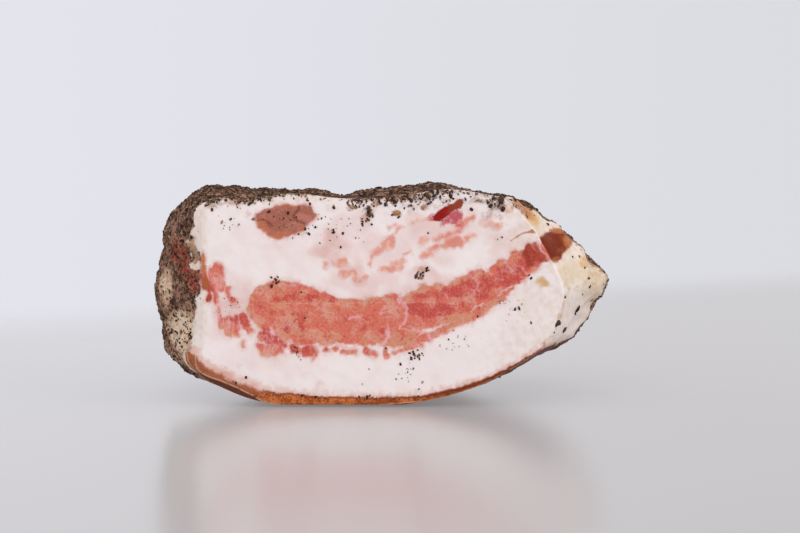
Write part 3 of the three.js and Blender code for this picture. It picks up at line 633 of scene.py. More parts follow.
def side_fields(share, points):
    """What the outside is made of at each place, in the same terms as the cut, with a painted highlight along
    the ridge beside the cut.
    """
    x, y, z = np.moveaxis(points, -1, 0)
    behind = y - FACE_Y
    on_facet = (x > FACET_REACH[0]) & (behind < FACET_REACH[1])
    near_left = (x < LEFT_REACH[0]) & (behind < LEFT_REACH[1])
    rind, cut_back = side_rind(points, behind)
    begins = closed_spline(OUTLINE[:, 4:5], share)[..., 0]
    ragged = smoothstep(-1, 2, begins) * (2.4 - 1.6 * smoothstep(30, 45, x))
    crust = behind - begins + ragged * fractal(points, 4, 3, 41)
    dried = np.where(on_facet, depth_inside(x, z, np.array(DRIED_END)), -FAR)
    shreds = np.where(near_left, strokes(x, z, SHREDS[:3]) - 0.4 * behind, -FAR)
    creases = np.where(on_facet, strokes(x, z, FACET_CREASES), -FAR)
    amber = np.where(on_facet, patches(x, z, FACET_AMBER), 0)
    facet_age_and_highlight = 0.42 + 0.2 * smoothstep(36, 44, z) + 0.35 * smoothstep(68, 76, x) + patches(x, z, FACET_AGED)
    # Painted highlight: within a millimetre behind the cut the facet is kept free of cream, a pale line along
    # the ridge
    facet_age_and_highlight = facet_age_and_highlight * smoothstep(0.1, 1, behind)
    thin_top = smoothstep(22, 30, x) * smoothstep(62, 68, z) * smoothstep(16, 1, behind)
    fields = dict.fromkeys(FIELDS, np.zeros(x.shape))
    fields |= dict.fromkeys(("vein", "pale", "gland", "oval"), np.full(x.shape, -FAR))
    return fields | {
        "lean": np.maximum(dried, shreds),
        "red": side_flesh(points, behind, near_left),
        "dark": np.where(on_facet, 1, 0.6),
        "amber": np.maximum(amber, 0.3 * smoothstep(-0.9, 0.3, creases)),
        # Off the facet the side is less cream near the cut, a painted highlight along the ridge, and dried
        # fat farther back
        "aged": np.where(on_facet, facet_age_and_highlight, 0.4 + 0.3 * smoothstep(0, 4, behind)),
        "rind": rind,
        "crust": np.minimum(crust, 1.5 - rind),
        "dust": 0.7 * thin_top,
        "bare": np.maximum(side_bare(points, behind, near_left), 0.8 * thin_top),
        "score": np.full(x.shape, FAR),
        "edge": cut_back - behind,
        "skin": np.maximum(smoothstep(-28, -45, x), smoothstep(16, 30, behind)),
        "soft": smoothstep(*SOFT_RIND, x) * smoothstep(6, 0, behind),
        "gold": np.where(on_facet, patches(x, z, FACET_GOLD), 0),
    }


def closing(part, powers):
    """A superellipse that falls from 1 at the shoulder to 0 at the end."""
    across, back = powers
    return (1 - part**back) ** (1 / across)


def skin(share, row):
    """The slab's surface without relief. Share goes round the outline, row 0 is the cut, 1 the shoulder and 2
    the end. Up to the shoulder the outline moves out by a quarter sine wave, or straight on the facet; behind
    it, it turns into an ellipse that closes as a superellipse."""
    share, row = np.broadcast_arrays(share, row)
    cut = closed_spline(OUTLINE[:, :2], share)
    shoulder = closed_spline(OUTLINE[:, :2] + OUTLINE[:, 2:4], share)
    first = np.clip(row, 0, 1)
    rounded = np.sin(first * math.pi / 2)
    out = rounded + (first - rounded) * smoothstep(*FACET, cut[..., 0])
    near = cut + (shoulder - cut) * out[..., None]

    part = np.clip(row - 1, 0, 1)
    x, z = shoulder[..., 0], shoulder[..., 1] - END_HEIGHT
    upper = z > 0
    reach = np.where(upper, END_TOP, END_FOOT)
    angle = np.arctan2(z / reach, x / END_WIDTH)
    turned = smoothstep(0, 0.8, part)
    wide = x + (END_WIDTH * np.cos(angle) - x) * turned
    high = z + (reach * np.sin(angle) - z) * turned
    far_x = wide * closing(part, WIDTH_ROUND) + END_DRIFT * part**2
    far_z = END_HEIGHT + high * np.where(upper, closing(part, TOP_ROUND), closing(part, FOOT_ROUND))

    front = row <= 1
    y = np.where(front, FACE_Y + SHOULDER_DEPTH * row, SHOULDER_Y + (END_Y - SHOULDER_Y) * part)
    return np.stack([np.where(front, near[..., 0], far_x), y, np.where(front, near[..., 1], far_z)], axis=-1)


def skin_normal(share, row):
    """Outward direction: the cross product of steps along the outline and towards the end."""
    step = 2e-3
    row = np.clip(row, step, 2 - 3 * step)
    round_step = skin(share + step, row) - skin(share - step, row)
    back_step = skin(share, row + step) - skin(share, row - step)
    normal = np.cross(round_step, back_step)
    return normal / np.maximum(np.linalg.norm(normal, axis=-1, keepdims=True), 1e-9)


def slow_relief(points):
    """The part's own relief: three products of slow waves, and ridges where two waves meet."""
    x, y, z = np.moveaxis(points, -1, 0)
    slow = (
        0.9 * np.sin(0.085 * x + 0.06 * y + 1.3) * np.sin(0.09 * y - 0.05 * z + 0.4)
        + 0.55 * np.sin(0.19 * x - 0.13 * z + 2.1) * np.cos(0.17 * y + 0.11 * z)
        + 0.35 * np.sin(0.41 * x + 0.33 * y - 0.29 * z)
    )
    ridge = np.abs(np.sin(0.31 * x + 0.22 * z + 0.7 * np.sin(0.2 * y)))
    cross = np.abs(np.sin(0.35 * y - 0.27 * z + 0.9 * np.sin(0.17 * x)))
    return SWELLING * slow + CRAGS * (0.5 - ridge * cross)


def wall_surface(share, row, roughness):
    """The outside with its relief. The slow relief moves a place out across the slab's length, and the
    crust's crags, the rind's wrinkles and the dried lean move it along the surface's own normal."""
    smooth = skin(share, row)
    outward = smooth * (1, 0, 1.6) - (0, 0, 1.6 * END_HEIGHT)
    outward /= np.maximum(np.linalg.norm(outward, axis=-1, keepdims=True), 1e-9)
    fade = smoothstep(0.15, 1, row) * (1 - smoothstep(1.9, 2, row)) * smoothstep(*RIND_EDGE, smooth[..., 2])
    points = smooth + outward * (fade * slow_relief(smooth))[..., None]
    settled = smoothstep(0.05, 0.5, row) * (1 - smoothstep(1.4, 1.9, row))
    points[..., 0] -= settled * along(LEFT_SWELLING, points[..., 2]) * smoothstep(-62, -70, points[..., 0])
    points[..., 2] -= settled * along(TOP_SETTLED, points[..., 0]) * smoothstep(50, 66, points[..., 2])
    fields = side_fields(share, points)
    crusted = smoothstep(-0.5, 2, fields["crust"])
    crags = fractal(points, 5, 3, 7) - 0.7 * np.abs(fractal(points, 9, 2, 17))
    wrinkles = np.abs(fractal(points * (1, 0.4, 1), 4, 2, 23))
    rinded = smoothstep(0, 3, fields["rind"])
    dried = smoothstep(0, 1.5, fields["lean"])
    height = roughness * crusted * crags - 0.25 * rinded * wrinkles + 0.35 * dried
    height = height * smoothstep(0, 0.1, row) * (1 - smoothstep(1.97, 2, row))
    points = points + skin_normal(share, row) * height[..., None]
    points[..., 2] = np.maximum(points[..., 2], 0)
    return points, fields


def cut_surface(x, z):
    """How far back each place of the cut lies, with its fields: a plane with the knife's slow waves and
    score, where the lean is a little sunk, and the pale streaks and the rind a little swollen."""
    places = in_plane(x, z)
    fields = cut_fields(x, z)
    waves = 0.16 * value_noise(places * (0.5, 1, 1), 11, 61) + 0.07 * fractal(places, 3, 2, 67)
    sunk = 0.14 * smoothstep(-0.6, 0.8, fields["lean"])
    sunk = sunk + 0.12 * smoothstep(0.3, -0.3, np.abs(fields["score"]))
    swollen = 0.1 * smoothstep(-0.8, 0.3, fields["pale"]) + 0.12 * smoothstep(-0.3, 0.4, fields["rind"])
    return FACE_Y + waves + sunk - swollen, fields


def coons_patch(ring, columns, rows):
    """Fills a closed ring: the sum of the surfaces ruled between its two pairs of opposite sides, less the
    surface ruled between its corners. The ring runs clockwise from the lower left corner."""
    ring = np.vstack([ring, ring[:1]])
    stops = np.cumsum([0, rows, columns, rows, columns])
    left, top, right, bottom = (ring[start : stop + 1] for start, stop in zip(stops, stops[1:]))
    right, bottom = right[::-1], bottom[::-1]
    u = np.linspace(0, 1, columns + 1)[None, :, None]
    v = np.linspace(0, 1, rows + 1)[:, None, None]
    corners = (1 - v) * ((1 - u) * bottom[0] + u * bottom[-1]) + v * ((1 - u) * top[0] + u * top[-1])
    return (1 - v) * bottom[None] + v * top[None] + (1 - u) * left[:, None] + u * right[:, None] - corners


def grid_numbers(columns, rows):
    """Vertex numbers of a grid, and those round its edge, clockwise from the lower left corner."""
    grid = np.arange((rows + 1) * (columns + 1)).reshape(rows + 1, columns + 1)
    edge = np.concatenate([grid[:-1, 0], grid[-1, :-1], grid[:0:-1, -1], grid[0, :0:-1]])
    return grid, edge


def close_behind(grid, edge, ring_sizes):
    """Faces of a body: the grid's quads, quads from ring to ring going back, three triangles for each pair of
    steps where a ring has half as many, and a fan to the last vertex."""
    front = np.stack([grid[:-1, :-1], grid[:-1, 1:], grid[1:, 1:], grid[1:, :-1]], axis=-1).reshape(-1, 4)
    quads, triangles = [front], []
    ring, used = edge, grid.size
    for size in ring_sizes:
        following = used + np.arange(size)
        used += size
        after, next_after = following, np.roll(following, -1)
        if size == len(ring):
            quads.append(np.stack([ring, np.roll(ring, -1), next_after, after], axis=1))
        else:
            first, middle, last = ring[::2], ring[1::2], np.roll(ring[::2], -1)
            triangles += [
                np.stack([first, middle, after], axis=1),
                np.stack([middle, next_after, after], axis=1),
                np.stack([middle, last, next_after], axis=1),
            ]
        ring = following
    triangles.append(np.stack([ring, np.roll(ring, -1), np.full(len(ring), used)], axis=1))
    return np.vstack(quads), np.vstack(triangles)


def add_mesh(name, points, quads, triangles, fields):
    """A mesh object at the origin from arrays in millimetres, with one float attribute for each field."""
    mesh = bpy.data.meshes.new(name)
    mesh.vertices.add(len(points))
    mesh.loops.add(quads.size + triangles.size)
    mesh.polygons.add(len(quads) + len(triangles))
    mesh.vertices.foreach_set("co", (points * MM).astype(np.float32).ravel())
    mesh.loops.foreach_set("vertex_index", np.concatenate([quads.ravel(), triangles.ravel()]))
    starts = np.concatenate([np.arange(len(quads)) * 4, quads.size + np.arange(len(triangles)) * 3])
    mesh.polygons.foreach_set("loop_start", starts)
    mesh.update(calc_edges=True)
    mesh.validate()
    for field, values in fields.items():
        mesh.attributes.new(field, "FLOAT", "POINT").data.foreach_set("value", values.astype(np.float32))
    piece = bpy.data.objects.new(name, mesh)
    bpy.context.scene.collection.objects.link(piece)
    return piece


def joined(parts):
    """The fields of several stretches of a mesh, one after the other."""
    return {field: np.concatenate([part[field].ravel() for part in parts]) for field in FIELDS}


def block_ring(columns, rows):
    """Shares of the outline that cut each side of the cut into even lengths, from the lower left corner."""
    count = len(OUTLINE)
    stops = [*CORNERS, CORNERS[0] + count]
    sides = []
    for start, stop, steps in zip(stops, stops[1:], (rows, columns, rows, columns)):
        share = np.linspace(start, stop, 2000) / count
        lengths = np.linalg.norm(np.diff(closed_spline(OUTLINE[:, :2], share), axis=0), axis=1)
        lengths = np.concatenate([[0], np.cumsum(lengths)])
        sides.append(np.interp(np.linspace(0, lengths[-1], steps + 1), lengths, share)[:-1])
    return np.concatenate(sides)


def make_block(roughness):
    """The body: the cut as a filled ring, fine rings up to near the shoulder, then half as many steps round
    and rings that close towards the end. Where the pieces of lean lie the cut is sunk, to make room."""
    columns, rows = CUT_STEPS
    share = block_ring(columns, rows)
    ring = closed_spline(OUTLINE[:, :2], share)
    ring[:, 1] = np.maximum(ring[:, 1], 0)
    cut = coons_patch(ring, columns, rows)
    x, z = cut[..., 0], cut[..., 1]
    y, cut_parts = cut_surface(x, z)
    in_lean = np.maximum.reduce([depth_inside(x, z, lean.outline) for lean in LEANS.values()])
    y = y + LEAN_ROOM * smoothstep(0.5, 1.6, in_lean)
    edge_fade = smoothstep(0, 1.5, depth_inside(x, z, ring[::4]))
    y = FACE_Y + (y - FACE_Y) * edge_fade

    front_rows = np.linspace(0, FRONT_REACH, FRONT_ROWS + 1)[1:, None]
    shoulder_rows = np.linspace(FRONT_REACH, 1, SHOULDER_ROWS + 1)[1:]
    back_rows = 1 + np.sin(np.linspace(0, math.pi / 2, BACK_ROWS + 1)[1:-1])
    coarse_rows = np.concatenate([shoulder_rows, back_rows])[:, None]
    front, front_fields = wall_surface(share[None, :], front_rows, roughness)
    back, back_fields = wall_surface(share[None, ::2], coarse_rows, roughness)
    tip, tip_fields = wall_surface(np.zeros(1), np.full(1, 2.0), roughness)

    grid, edge = grid_numbers(columns, rows)
    sizes = [len(share)] * FRONT_ROWS + [len(share) // 2] * len(coarse_rows)
    quads, triangles = close_behind(grid, edge, sizes)
    face = np.stack([x, y, z], axis=-1)
    points = np.vstack([part.reshape(-1, 3) for part in (face, front, back, tip)])
    fields = joined([cut_parts, front_fields, back_fields, tip_fields])
    return add_mesh("fat_block", points, quads, triangles, fields)


def make_lean(name):
    """A piece of lean: its outline in the cut filled like the block's, a hair in front of the fat, and rings
    that run back into it, narrowing about its middle."""
    lean = LEANS[name]
    columns, rows = lean.steps
    count = len(lean.outline)
    first = lean.corners[0]
    closed = np.roll(lean.outline, -first, axis=0)
    closed = np.vstack([closed, closed[:1]])
    stops = [(corner - first) % count for corner in lean.corners] + [count]
    sides = zip(stops, stops[1:], (rows, columns, rows, columns))
    ring = np.vstack([even_steps(closed[start : stop + 1], steps)[:-1] for start, stop, steps in sides])
    cut = coons_patch(ring, columns, rows)
    x, z = cut[..., 0], cut[..., 1]
    y, fields = cut_surface(x, z)
    y = y - LIFT
    middle = ring.mean(axis=0)
    rings = []
    for depth, width, thickness in lean.run:
        shrunk = middle + (ring - middle) * (width, thickness)
        rings.append(np.stack([shrunk[:, 0], np.full(len(ring), FACE_Y + depth), shrunk[:, 1]], axis=1))
    tip = np.array([[middle[0], FACE_Y + lean.run[-1][0] + 1, middle[1]]])
    points = np.vstack([np.stack([x, y, z], axis=-1).reshape(-1, 3), *rings, tip])
    grid, edge = grid_numbers(columns, rows)
    quads, triangles = close_behind(grid, edge, [len(edge)] * len(rings))
    behind = len(points) - grid.size
    fields = {
        field: np.concatenate([values.ravel(), np.full(behind, values.mean())])
        for field, values in fields.items()
    }
    return add_mesh(name, points, quads, triangles, fields)


# Corners of an icosahedron: those of three golden rectangles
GOLDEN = (1 + math.sqrt(5)) / 2
HALVES = [(a, b) for a in (-1, 1) for b in (-GOLDEN, GOLDEN)]
ROUND = np.array([corner for a, b in HALVES for corner in ((0, a, b), (a, b, 0), (b, 0, a))])
ROUND = ROUND / math.hypot(1, GOLDEN)


def hull_faces(points):
    """Faces of a regular body of triangles: the triples whose corners are all neighbours, turned outwards."""
    gap = np.linalg.norm(points[:, None] - points, axis=-1)
    near = (gap > 0) & (gap < 1.01 * gap[gap > 0].min())
    triples = np.argwhere(near[:, :, None] & near[:, None, :] & near[None, :, :])
    triples = triples[(np.diff(triples) > 0).all(axis=1)]
    outward = np.linalg.det(points[triples]) > 0
    return np.where(outward[:, None], triples, triples[:, ::-1])


ROUND_FACES = hull_faces(ROUND)


def read_back(items, name, width=1, kind=np.float32):
    """One property of all items of a mesh as an array, with width numbers for each."""
    values = np.empty(len(items) * width, kind)
    items.foreach_get(name, values)
    return values.reshape(-1, width)


def crust_density(centre, fields):
    """Pepper is thickest on the crust near the cut, thin where the side is bare, and rare on the rind."""
    crusted = smoothstep(-0.8, 1.6, fields["crust"]) * (1 - smoothstep(-1, 2, fields["rind"]))
    front = centre[:, 1] < FACE_Y + 0.3
    near = 1 + 0.6 * smoothstep(FACE_Y + 45, FACE_Y + 8, centre[:, 1])
    rare = 0.12 * smoothstep(-2.6, 1, fields["crust"]) + 0.008 + 0.5 * fields["dust"]
    bare = 1 - 0.6 * np.clip(fields["bare"], 0, 1)
    clumps = np.clip(1 + 1.3 * fractal(centre.astype(float), 4, 2, 47), 0.15, 2)
    return np.where(front, 0, crusted * near * bare * (1 - 0.6 * fields["red"]) * clumps + rare)


def wall_places(block, number, draw):
    """Random places on the block's outside: a triangle drawn by area times density, then a place in it."""
    mesh = block.data
    mesh.calc_loop_triangles()
    corners = read_back(mesh.loop_triangles, "vertices", 3, np.int32)
    points = read_back(mesh.vertices, "co", 3) / MM
    a, b, c = (points[corners[:, k]] for k in range(3))
    normal = np.cross(b - a, c - a)
    area = np.linalg.norm(normal, axis=1)
    names = ("crust", "rind", "bare", "red", "dust")
    fields = {name: read_back(mesh.attributes[name].data, "value")[corners, 0].mean(axis=1) for name in names}
    centre = (a + b + c) / 3
    normal = normal / np.maximum(area, 1e-9)[:, None]
    weight = np.cumsum(area * crust_density(centre, fields))
    chosen = np.searchsorted(weight, draw.random(number) * weight[-1])
    u, v = draw.random((2, number))
    over = u + v > 1
    u, v = np.where(over, 1 - u, u), np.where(over, 1 - v, v)
    place = a[chosen] + (b - a)[chosen] * u[:, None] + (c - a)[chosen] * v[:, None]
    return place, normal[chosen]


def grain_meshes(places, normals, radii, stretch, draw):
    """Corners and faces of uneven icosahedra: each corner is moved by chance, and the grain is flattened
    along the surface's normal, stretched along the surface, mostly upwards, and nearly half sunk."""
    count = len(places)
    corners = len(ROUND)
    shape = ROUND[None] * (0.65 + 0.55 * draw.random((count, corners, 1)))
    shape = shape + 0.2 * (draw.random((count, corners, 3)) - 0.5)
    shape = shape * np.stack([stretch, np.ones(count), 0.5 + 0.4 * draw.random(count)], axis=1)[:, None]
    angle = math.pi / 2 + 0.8 * draw.standard_normal(count)
    helper = np.stack([np.cos(angle), 0.3 * np.sin(angle), np.sin(angle)], axis=1)
    first = helper - normals * (helper * normals).sum(axis=1, keepdims=True)
    first /= np.maximum(np.linalg.norm(first, axis=1, keepdims=True), 1e-6)
    second = np.cross(normals, first)
    axes = np.stack([first, second, normals], axis=1)
    points = places[:, None] + np.einsum("nij,njk->nik", shape * radii[:, None, None], axes)
    points = points + (normals * radii[:, None] * 0.12)[:, None]
    faces = ROUND_FACES[None] + corners * np.arange(count)[:, None, None]
    return points.reshape(-1, 3), faces.reshape(-1, 3)


def cluster_places(share, draw):
    """Places and radii of the clusters on the cut: drawn over each ellipse, thicker in the middle."""
    places, radii = [], []
    for x, z, wide, high, count, radius in CLUSTERS:
        number = max(1, round(count * share))
        angle = draw.random(number) * 2 * math.pi
        reach = draw.random(number) ** 0.6
        places.append(np.stack([x + wide * reach * np.cos(angle), z + high * reach * np.sin(angle)], axis=1))
        radii.append(radius * (0.55 + 0.9 * draw.random(number)))
    return np.vstack(places), np.concatenate(radii)


def strip_places(share, draw):
    """Places and radii below the cut's upper edge: even across, and by an exponential law downwards."""
    places, radii = [], []
    for start, stop, number, depth, radius in TOP_STRIPS:
        x = start + (stop - start) * draw.random(round(number * share))
        places.append(np.stack([x, top_of_cut(x) - draw.exponential(depth, len(x))], axis=1))
        radii.append(radius * (0.5 + draw.random(len(x))))
    return np.vstack(places), np.concatenate(radii)


def on_facet(block):
    """The places of the block's facet that lie behind its grains in the front view, with the way out."""
    points = read_back(block.data.vertices, "co", 3) / MM
    normals = read_back(block.data.vertices, "normal", 3)
    left, near, far = FACET_SEARCH
    facet = (points[:, 0] > left) & (points[:, 1] > FACE_Y + near) & (points[:, 1] < FACE_Y + far)
    points, normals = points[facet], normals[facet]
    wanted = np.array(FACET_SPECKS)[:, :2]
    nearest = np.hypot(*(points[None, :, ::2] - wanted[:, None]).transpose(2, 0, 1)).argmin(axis=1)
    return points[nearest], normals[nearest]


def on_cut(places):
    """Places of the cut lifted to its surface, with the way out of it."""
    y, _ = cut_surface(places[:, 0], places[:, 1])
    points = np.stack([places[:, 0], y - LIFT, places[:, 1]], axis=1)
    return points, np.tile((0.0, -1.0, 0.0), (len(points), 1))


# A kind of grain: number on the crust, least and largest radius, share of the clusters, seed, single grains
# on the cut, and its two tones
Grain = namedtuple("Grain", "number radii share seed singles dark light")
GRAINS = {
    "pepper_black": Grain(8000, (0.2, 0.6), 0.5, 101, SPECKS, "pepper_black", "pepper_grey"),
    "pepper_brown": Grain(9300, (0.2, 0.55), 0.36, 202, [], "pepper_brown", "pepper_ochre"),
    "pepper_tan": Grain(3000, (0.16, 0.42), 0.24, 303, AMBER_SPECKS, "pepper_tan", "pepper_pale"),
}
LUMPS, LUMP_SIZE = 0.015, 1.9  # share of coarse grains on the crust, and how much coarser they are
LEAST_RADIUS = 0.05  # the facet's grains are black; in the other kinds they are too small to see


def make_grains(kind, block, amount):
    """All grains of one kind: a random cover of the crust, the clusters, strips and single grains on the cut,
    and the grains on the facet."""
    grain = GRAINS[kind]
    draw = np.random.default_rng(grain.seed)
    crust, crust_normals = wall_places(block, int(grain.number * amount), draw)
    least, most = grain.radii
    crust_radii = least + (most - least) * draw.random(len(crust)) ** 2
    crust_radii = np.where(draw.random(len(crust)) < LUMPS, LUMP_SIZE * crust_radii, crust_radii)
    crust_stretch = 1 + 0.9 * draw.random(len(crust))

    cluster, cluster_radii = cluster_places(grain.share, draw)
    strip, strip_radii = strip_places(0.7 * grain.share + 0.1, draw)
    single = np.array(grain.singles).reshape(-1, 3)
    flat = np.vstack([cluster, strip, single[:, :2]])
    kept = depth_inside(flat[:, 0], flat[:, 1], CUT_LINE) > 0.2
    cut, cut_normals = on_cut(flat[kept])
    cut_radii = np.concatenate([cluster_radii, strip_radii, single[:, 2]])[kept]

    facet, facet_normals = on_facet(block)
    facet_radii = np.maximum(np.array(FACET_SPECKS)[:, 2] * (kind == "pepper_black"), LEAST_RADIUS)

    places = np.vstack([crust, cut, facet])
    normals = np.vstack([crust_normals, cut_normals, facet_normals])
    radii = np.concatenate([crust_radii, cut_radii, facet_radii])
    stretch = np.concatenate([crust_stretch, 1.1 + 0.9 * draw.random(len(cut) + len(facet))])
    points, faces = grain_meshes(places, normals, radii, stretch, draw)
    points[:, 2] = np.maximum(points[:, 2], 0)
    darker_top = 1 - 0.5 * smoothstep(62, 70, places[:, 2]) * (places[:, 1] > FACE_Y + 0.5)
    tone = np.repeat(draw.random(len(places)) * darker_top, len(ROUND))
    return add_mesh(kind, points, np.empty((0, 4), np.int32), faces, {"tone": tone})


def srgb(red, green, blue):
    """A colour picked on screen, 0 to 255, as Blender's linear values."""
    shares = [value / 255 for value in (red, green, blue)]
    return tuple(share / 12.92 if share <= 0.04045 else ((share + 0.055) / 1.055) ** 2.4 for share in shares)


class Value:
    """A number of a shader in an expression: its operators add the Math nodes."""

    def __init__(self, shader, socket):
        self.shader = shader
        self.socket = socket

    def math(self, operation, *terms):
        node = self.shader.node("ShaderNodeMath", {"operation": operation}, dict(enumerate(terms)))
        return Value(self.shader, node.outputs[0])

    def __add__(self, other):
        return self.math("ADD", self, other)

    __radd__ = __add__

    def __sub__(self, other):
        return self.math("SUBTRACT", self, other)

    def __rsub__(self, other):
        return self.math("SUBTRACT", other, self)

    def __mul__(self, other):
        return self.math("MULTIPLY", self, other)

    def __abs__(self):
        return self.math("ABSOLUTE", self)

    def larger(self, other):
        return self.math("MAXIMUM", self, other)

    def step(self, low, high, start=0, end=1):
        """Start up to low, end from high on, and a smooth step between them."""
        ends = {"Value": self, "From Min": low, "From Max": high, "To Min": start, "To Max": end}
        node = self.shader.node("ShaderNodeMapRange", {"interpolation_type": "SMOOTHSTEP"}, ends)
        return Value(self.shader, node.outputs["Result"])


class Shader:
    """The node tree of a material or world, with its place in millimetres."""

    MIX_A, MIX_B, MIX_RESULT = 6, 7, 2  # colour sockets of a Mix node

    def __init__(self, owner, place="Object"):
        owner.use_nodes = True
        self.owner = owner
        self.tree = owner.node_tree
        self.tree.nodes.clear()
        coordinates = self.node("ShaderNodeTexCoord", {}, {}).outputs[place]
        self.place = self.stretched(coordinates, (1 / MM,) * 3)

    def node(self, kind, settings, values):
        """A node: its settings first, then numbers, colours or links for its sockets, by name or number."""
        made = self.tree.nodes.new(kind)
        for name, setting in settings.items():
            setattr(made, name, setting)
        for name, value in values.items():
            socket = made.inputs[name]
            if isinstance(value, Value):
                self.tree.links.new(value.socket, socket)
            elif isinstance(value, bpy.types.NodeSocket):
                self.tree.links.new(value, socket)
            elif socket.type == "RGBA":
                socket.default_value = (*value[:3], 1)
            else:
                socket.default_value = value
        return made

    def vector_math(self, operation, *terms):
        return self.node("ShaderNodeVectorMath", {"operation": operation}, dict(enumerate(terms))).outputs[0]

    def stretched(self, vector, factors):
        return self.vector_math("MULTIPLY", vector, factors)

    def swirled(self, size, reach):
        """The place moved about by up to half of reach, by noise of this size."""
        noise = self.node("ShaderNodeTexNoise", {}, {"Vector": self.place, "Scale": 1 / size, "Detail": 1.0})
        moved = self.vector_math("SUBTRACT", noise.outputs["Color"], (0.5,) * 3)
        return self.vector_math("ADD", self.place, self.stretched(moved, (reach,) * 3))

    def axis(self, name):
        """The place's measure along X, Y or Z in millimetres."""
        return Value(self, self.node("ShaderNodeSeparateXYZ", {}, {0: self.place}).outputs[name])

    def field(self, name):
        return Value(self, self.node("ShaderNodeAttribute", {"attribute_name": name}, {}).outputs["Fac"])

    def noise(self, size, detail=2, roughness=0.5, vector=None):
        """Smooth noise from 0 to 1 whose swellings are about size millimetres wide."""
        values = {"Vector": vector or self.place, "Scale": 1 / size, "Detail": detail, "Roughness": roughness}
        return Value(self, self.node("ShaderNodeTexNoise", {}, values).outputs["Fac"])

    def cells(self, size, feature="F1", vector=None):
        """A Voronoi node whose cells are about size millimetres wide."""
        values = {"Vector": vector or self.place, "Scale": 1 / size}
        return self.node("ShaderNodeTexVoronoi", {"feature": feature}, values)

    def chance(self, cells):
        """A random number from 0 to 1 for each cell of a Voronoi node."""
        parts = self.node("ShaderNodeSeparateColor", {}, {0: cells.outputs["Color"]})
        return Value(self, parts.outputs[0])

    def mix(self, factor, first, second):
        """Colour from first to second as factor goes from 0 to 1."""
        values = {0: factor, self.MIX_A: first, self.MIX_B: second}
        return self.node("ShaderNodeMix", {"data_type": "RGBA"}, values).outputs[self.MIX_RESULT]

    def bump(self, height, distance):
        """Normal from a height in the pattern's own unit, distance millimetres high."""
        values = {"Height": height, "Distance": distance * MM, "Strength": 1.0}
        return self.node("ShaderNodeBump", {}, values).outputs["Normal"]

    def broken(self, strength, noise, low, high):
        """A strength broken up by noise: a smooth step of their sum, and nothing where there is none."""
        return (strength + noise).step(low, high) * strength.step(0, 0.2)

    def finish(self, **values):
        """Ends in a Principled BSDF with these sockets."""
        values = {name.replace("_", " "): value for name, value in values.items()}
        return self.output(self.node("ShaderNodeBsdfPrincipled", {}, values))

    def output(self, shader, kind="ShaderNodeOutputMaterial"):
        self.node(kind, {}, {"Surface": shader.outputs[0]})
        return self.owner


def lean_colour(shader, tones, field, fine, tiny):
    """Salmon lean with tan and red stretches: bundles of fibre that each have their own tone, wisps of fat
    between some of them, and fine flecks."""
    swirl = shader.swirled(2.6, 4.2)
    chance = shader.chance(shader.cells(2.2, "F1", swirl))
    border = Value(shader, shader.cells(2.2, "DISTANCE_TO_EDGE", swirl).outputs["Distance"])
    wisps = border.step(0.22, 0.0) * shader.noise(5, 2).step(0.46, 0.62)
    mottle = shader.noise(0.9, 4, 0.68)
    patch = shader.noise(5, 3)
    tan = (field["tan"] + (chance - 0.5) * 0.9 + (patch - 0.5) * 3.4 + (mottle - 0.5) * 1.4).step(0, 0.9)
    red = (field["red"] + (0.5 - chance) * 0.8 + (0.5 - patch) * 2 + (fine - 0.5) * 1.4).step(0.25, 1.05)
    dark = shader.broken(field["dark"], (fine - 0.5) * 0.8, 0, 1)
    fibres = shader.noise(0.75, 2, vector=shader.stretched(shader.place, (1, 1, 0.2)))
    colour = shader.mix(tan, tones.lean, tones.lean_tan)
    colour = shader.mix(red, colour, tones.lean_red)
    colour = shader.mix(mottle.step(0.5, 0.7) * 0.6, colour, tones.lean_light)
    colour = shader.mix(mottle.step(0.5, 0.3) * 0.7, colour, tones.lean_red)
    colour = shader.mix(wisps * 0.32, colour, tones.vein)
    colour = shader.mix(fibres.step(0.5, 0.66) * field["fibrous"] * 0.55, colour, tones.vein)
    colour = shader.mix(tiny.step(0.52, 0.75) * 0.4, colour, tones.lean_light)
    colour = shader.mix(dark.step(0, 0.55) * 0.8, colour, tones.lean_deep)
    lighter = shader.noise(4, 3) + shader.axis("X").step(58, 67) * 0.4
    dried = shader.mix(lighter.step(0.55, 0.95), tones.lean_dry, tones.lean_amber)
    return shader.mix(dark.step(0.55, 1), colour, dried)


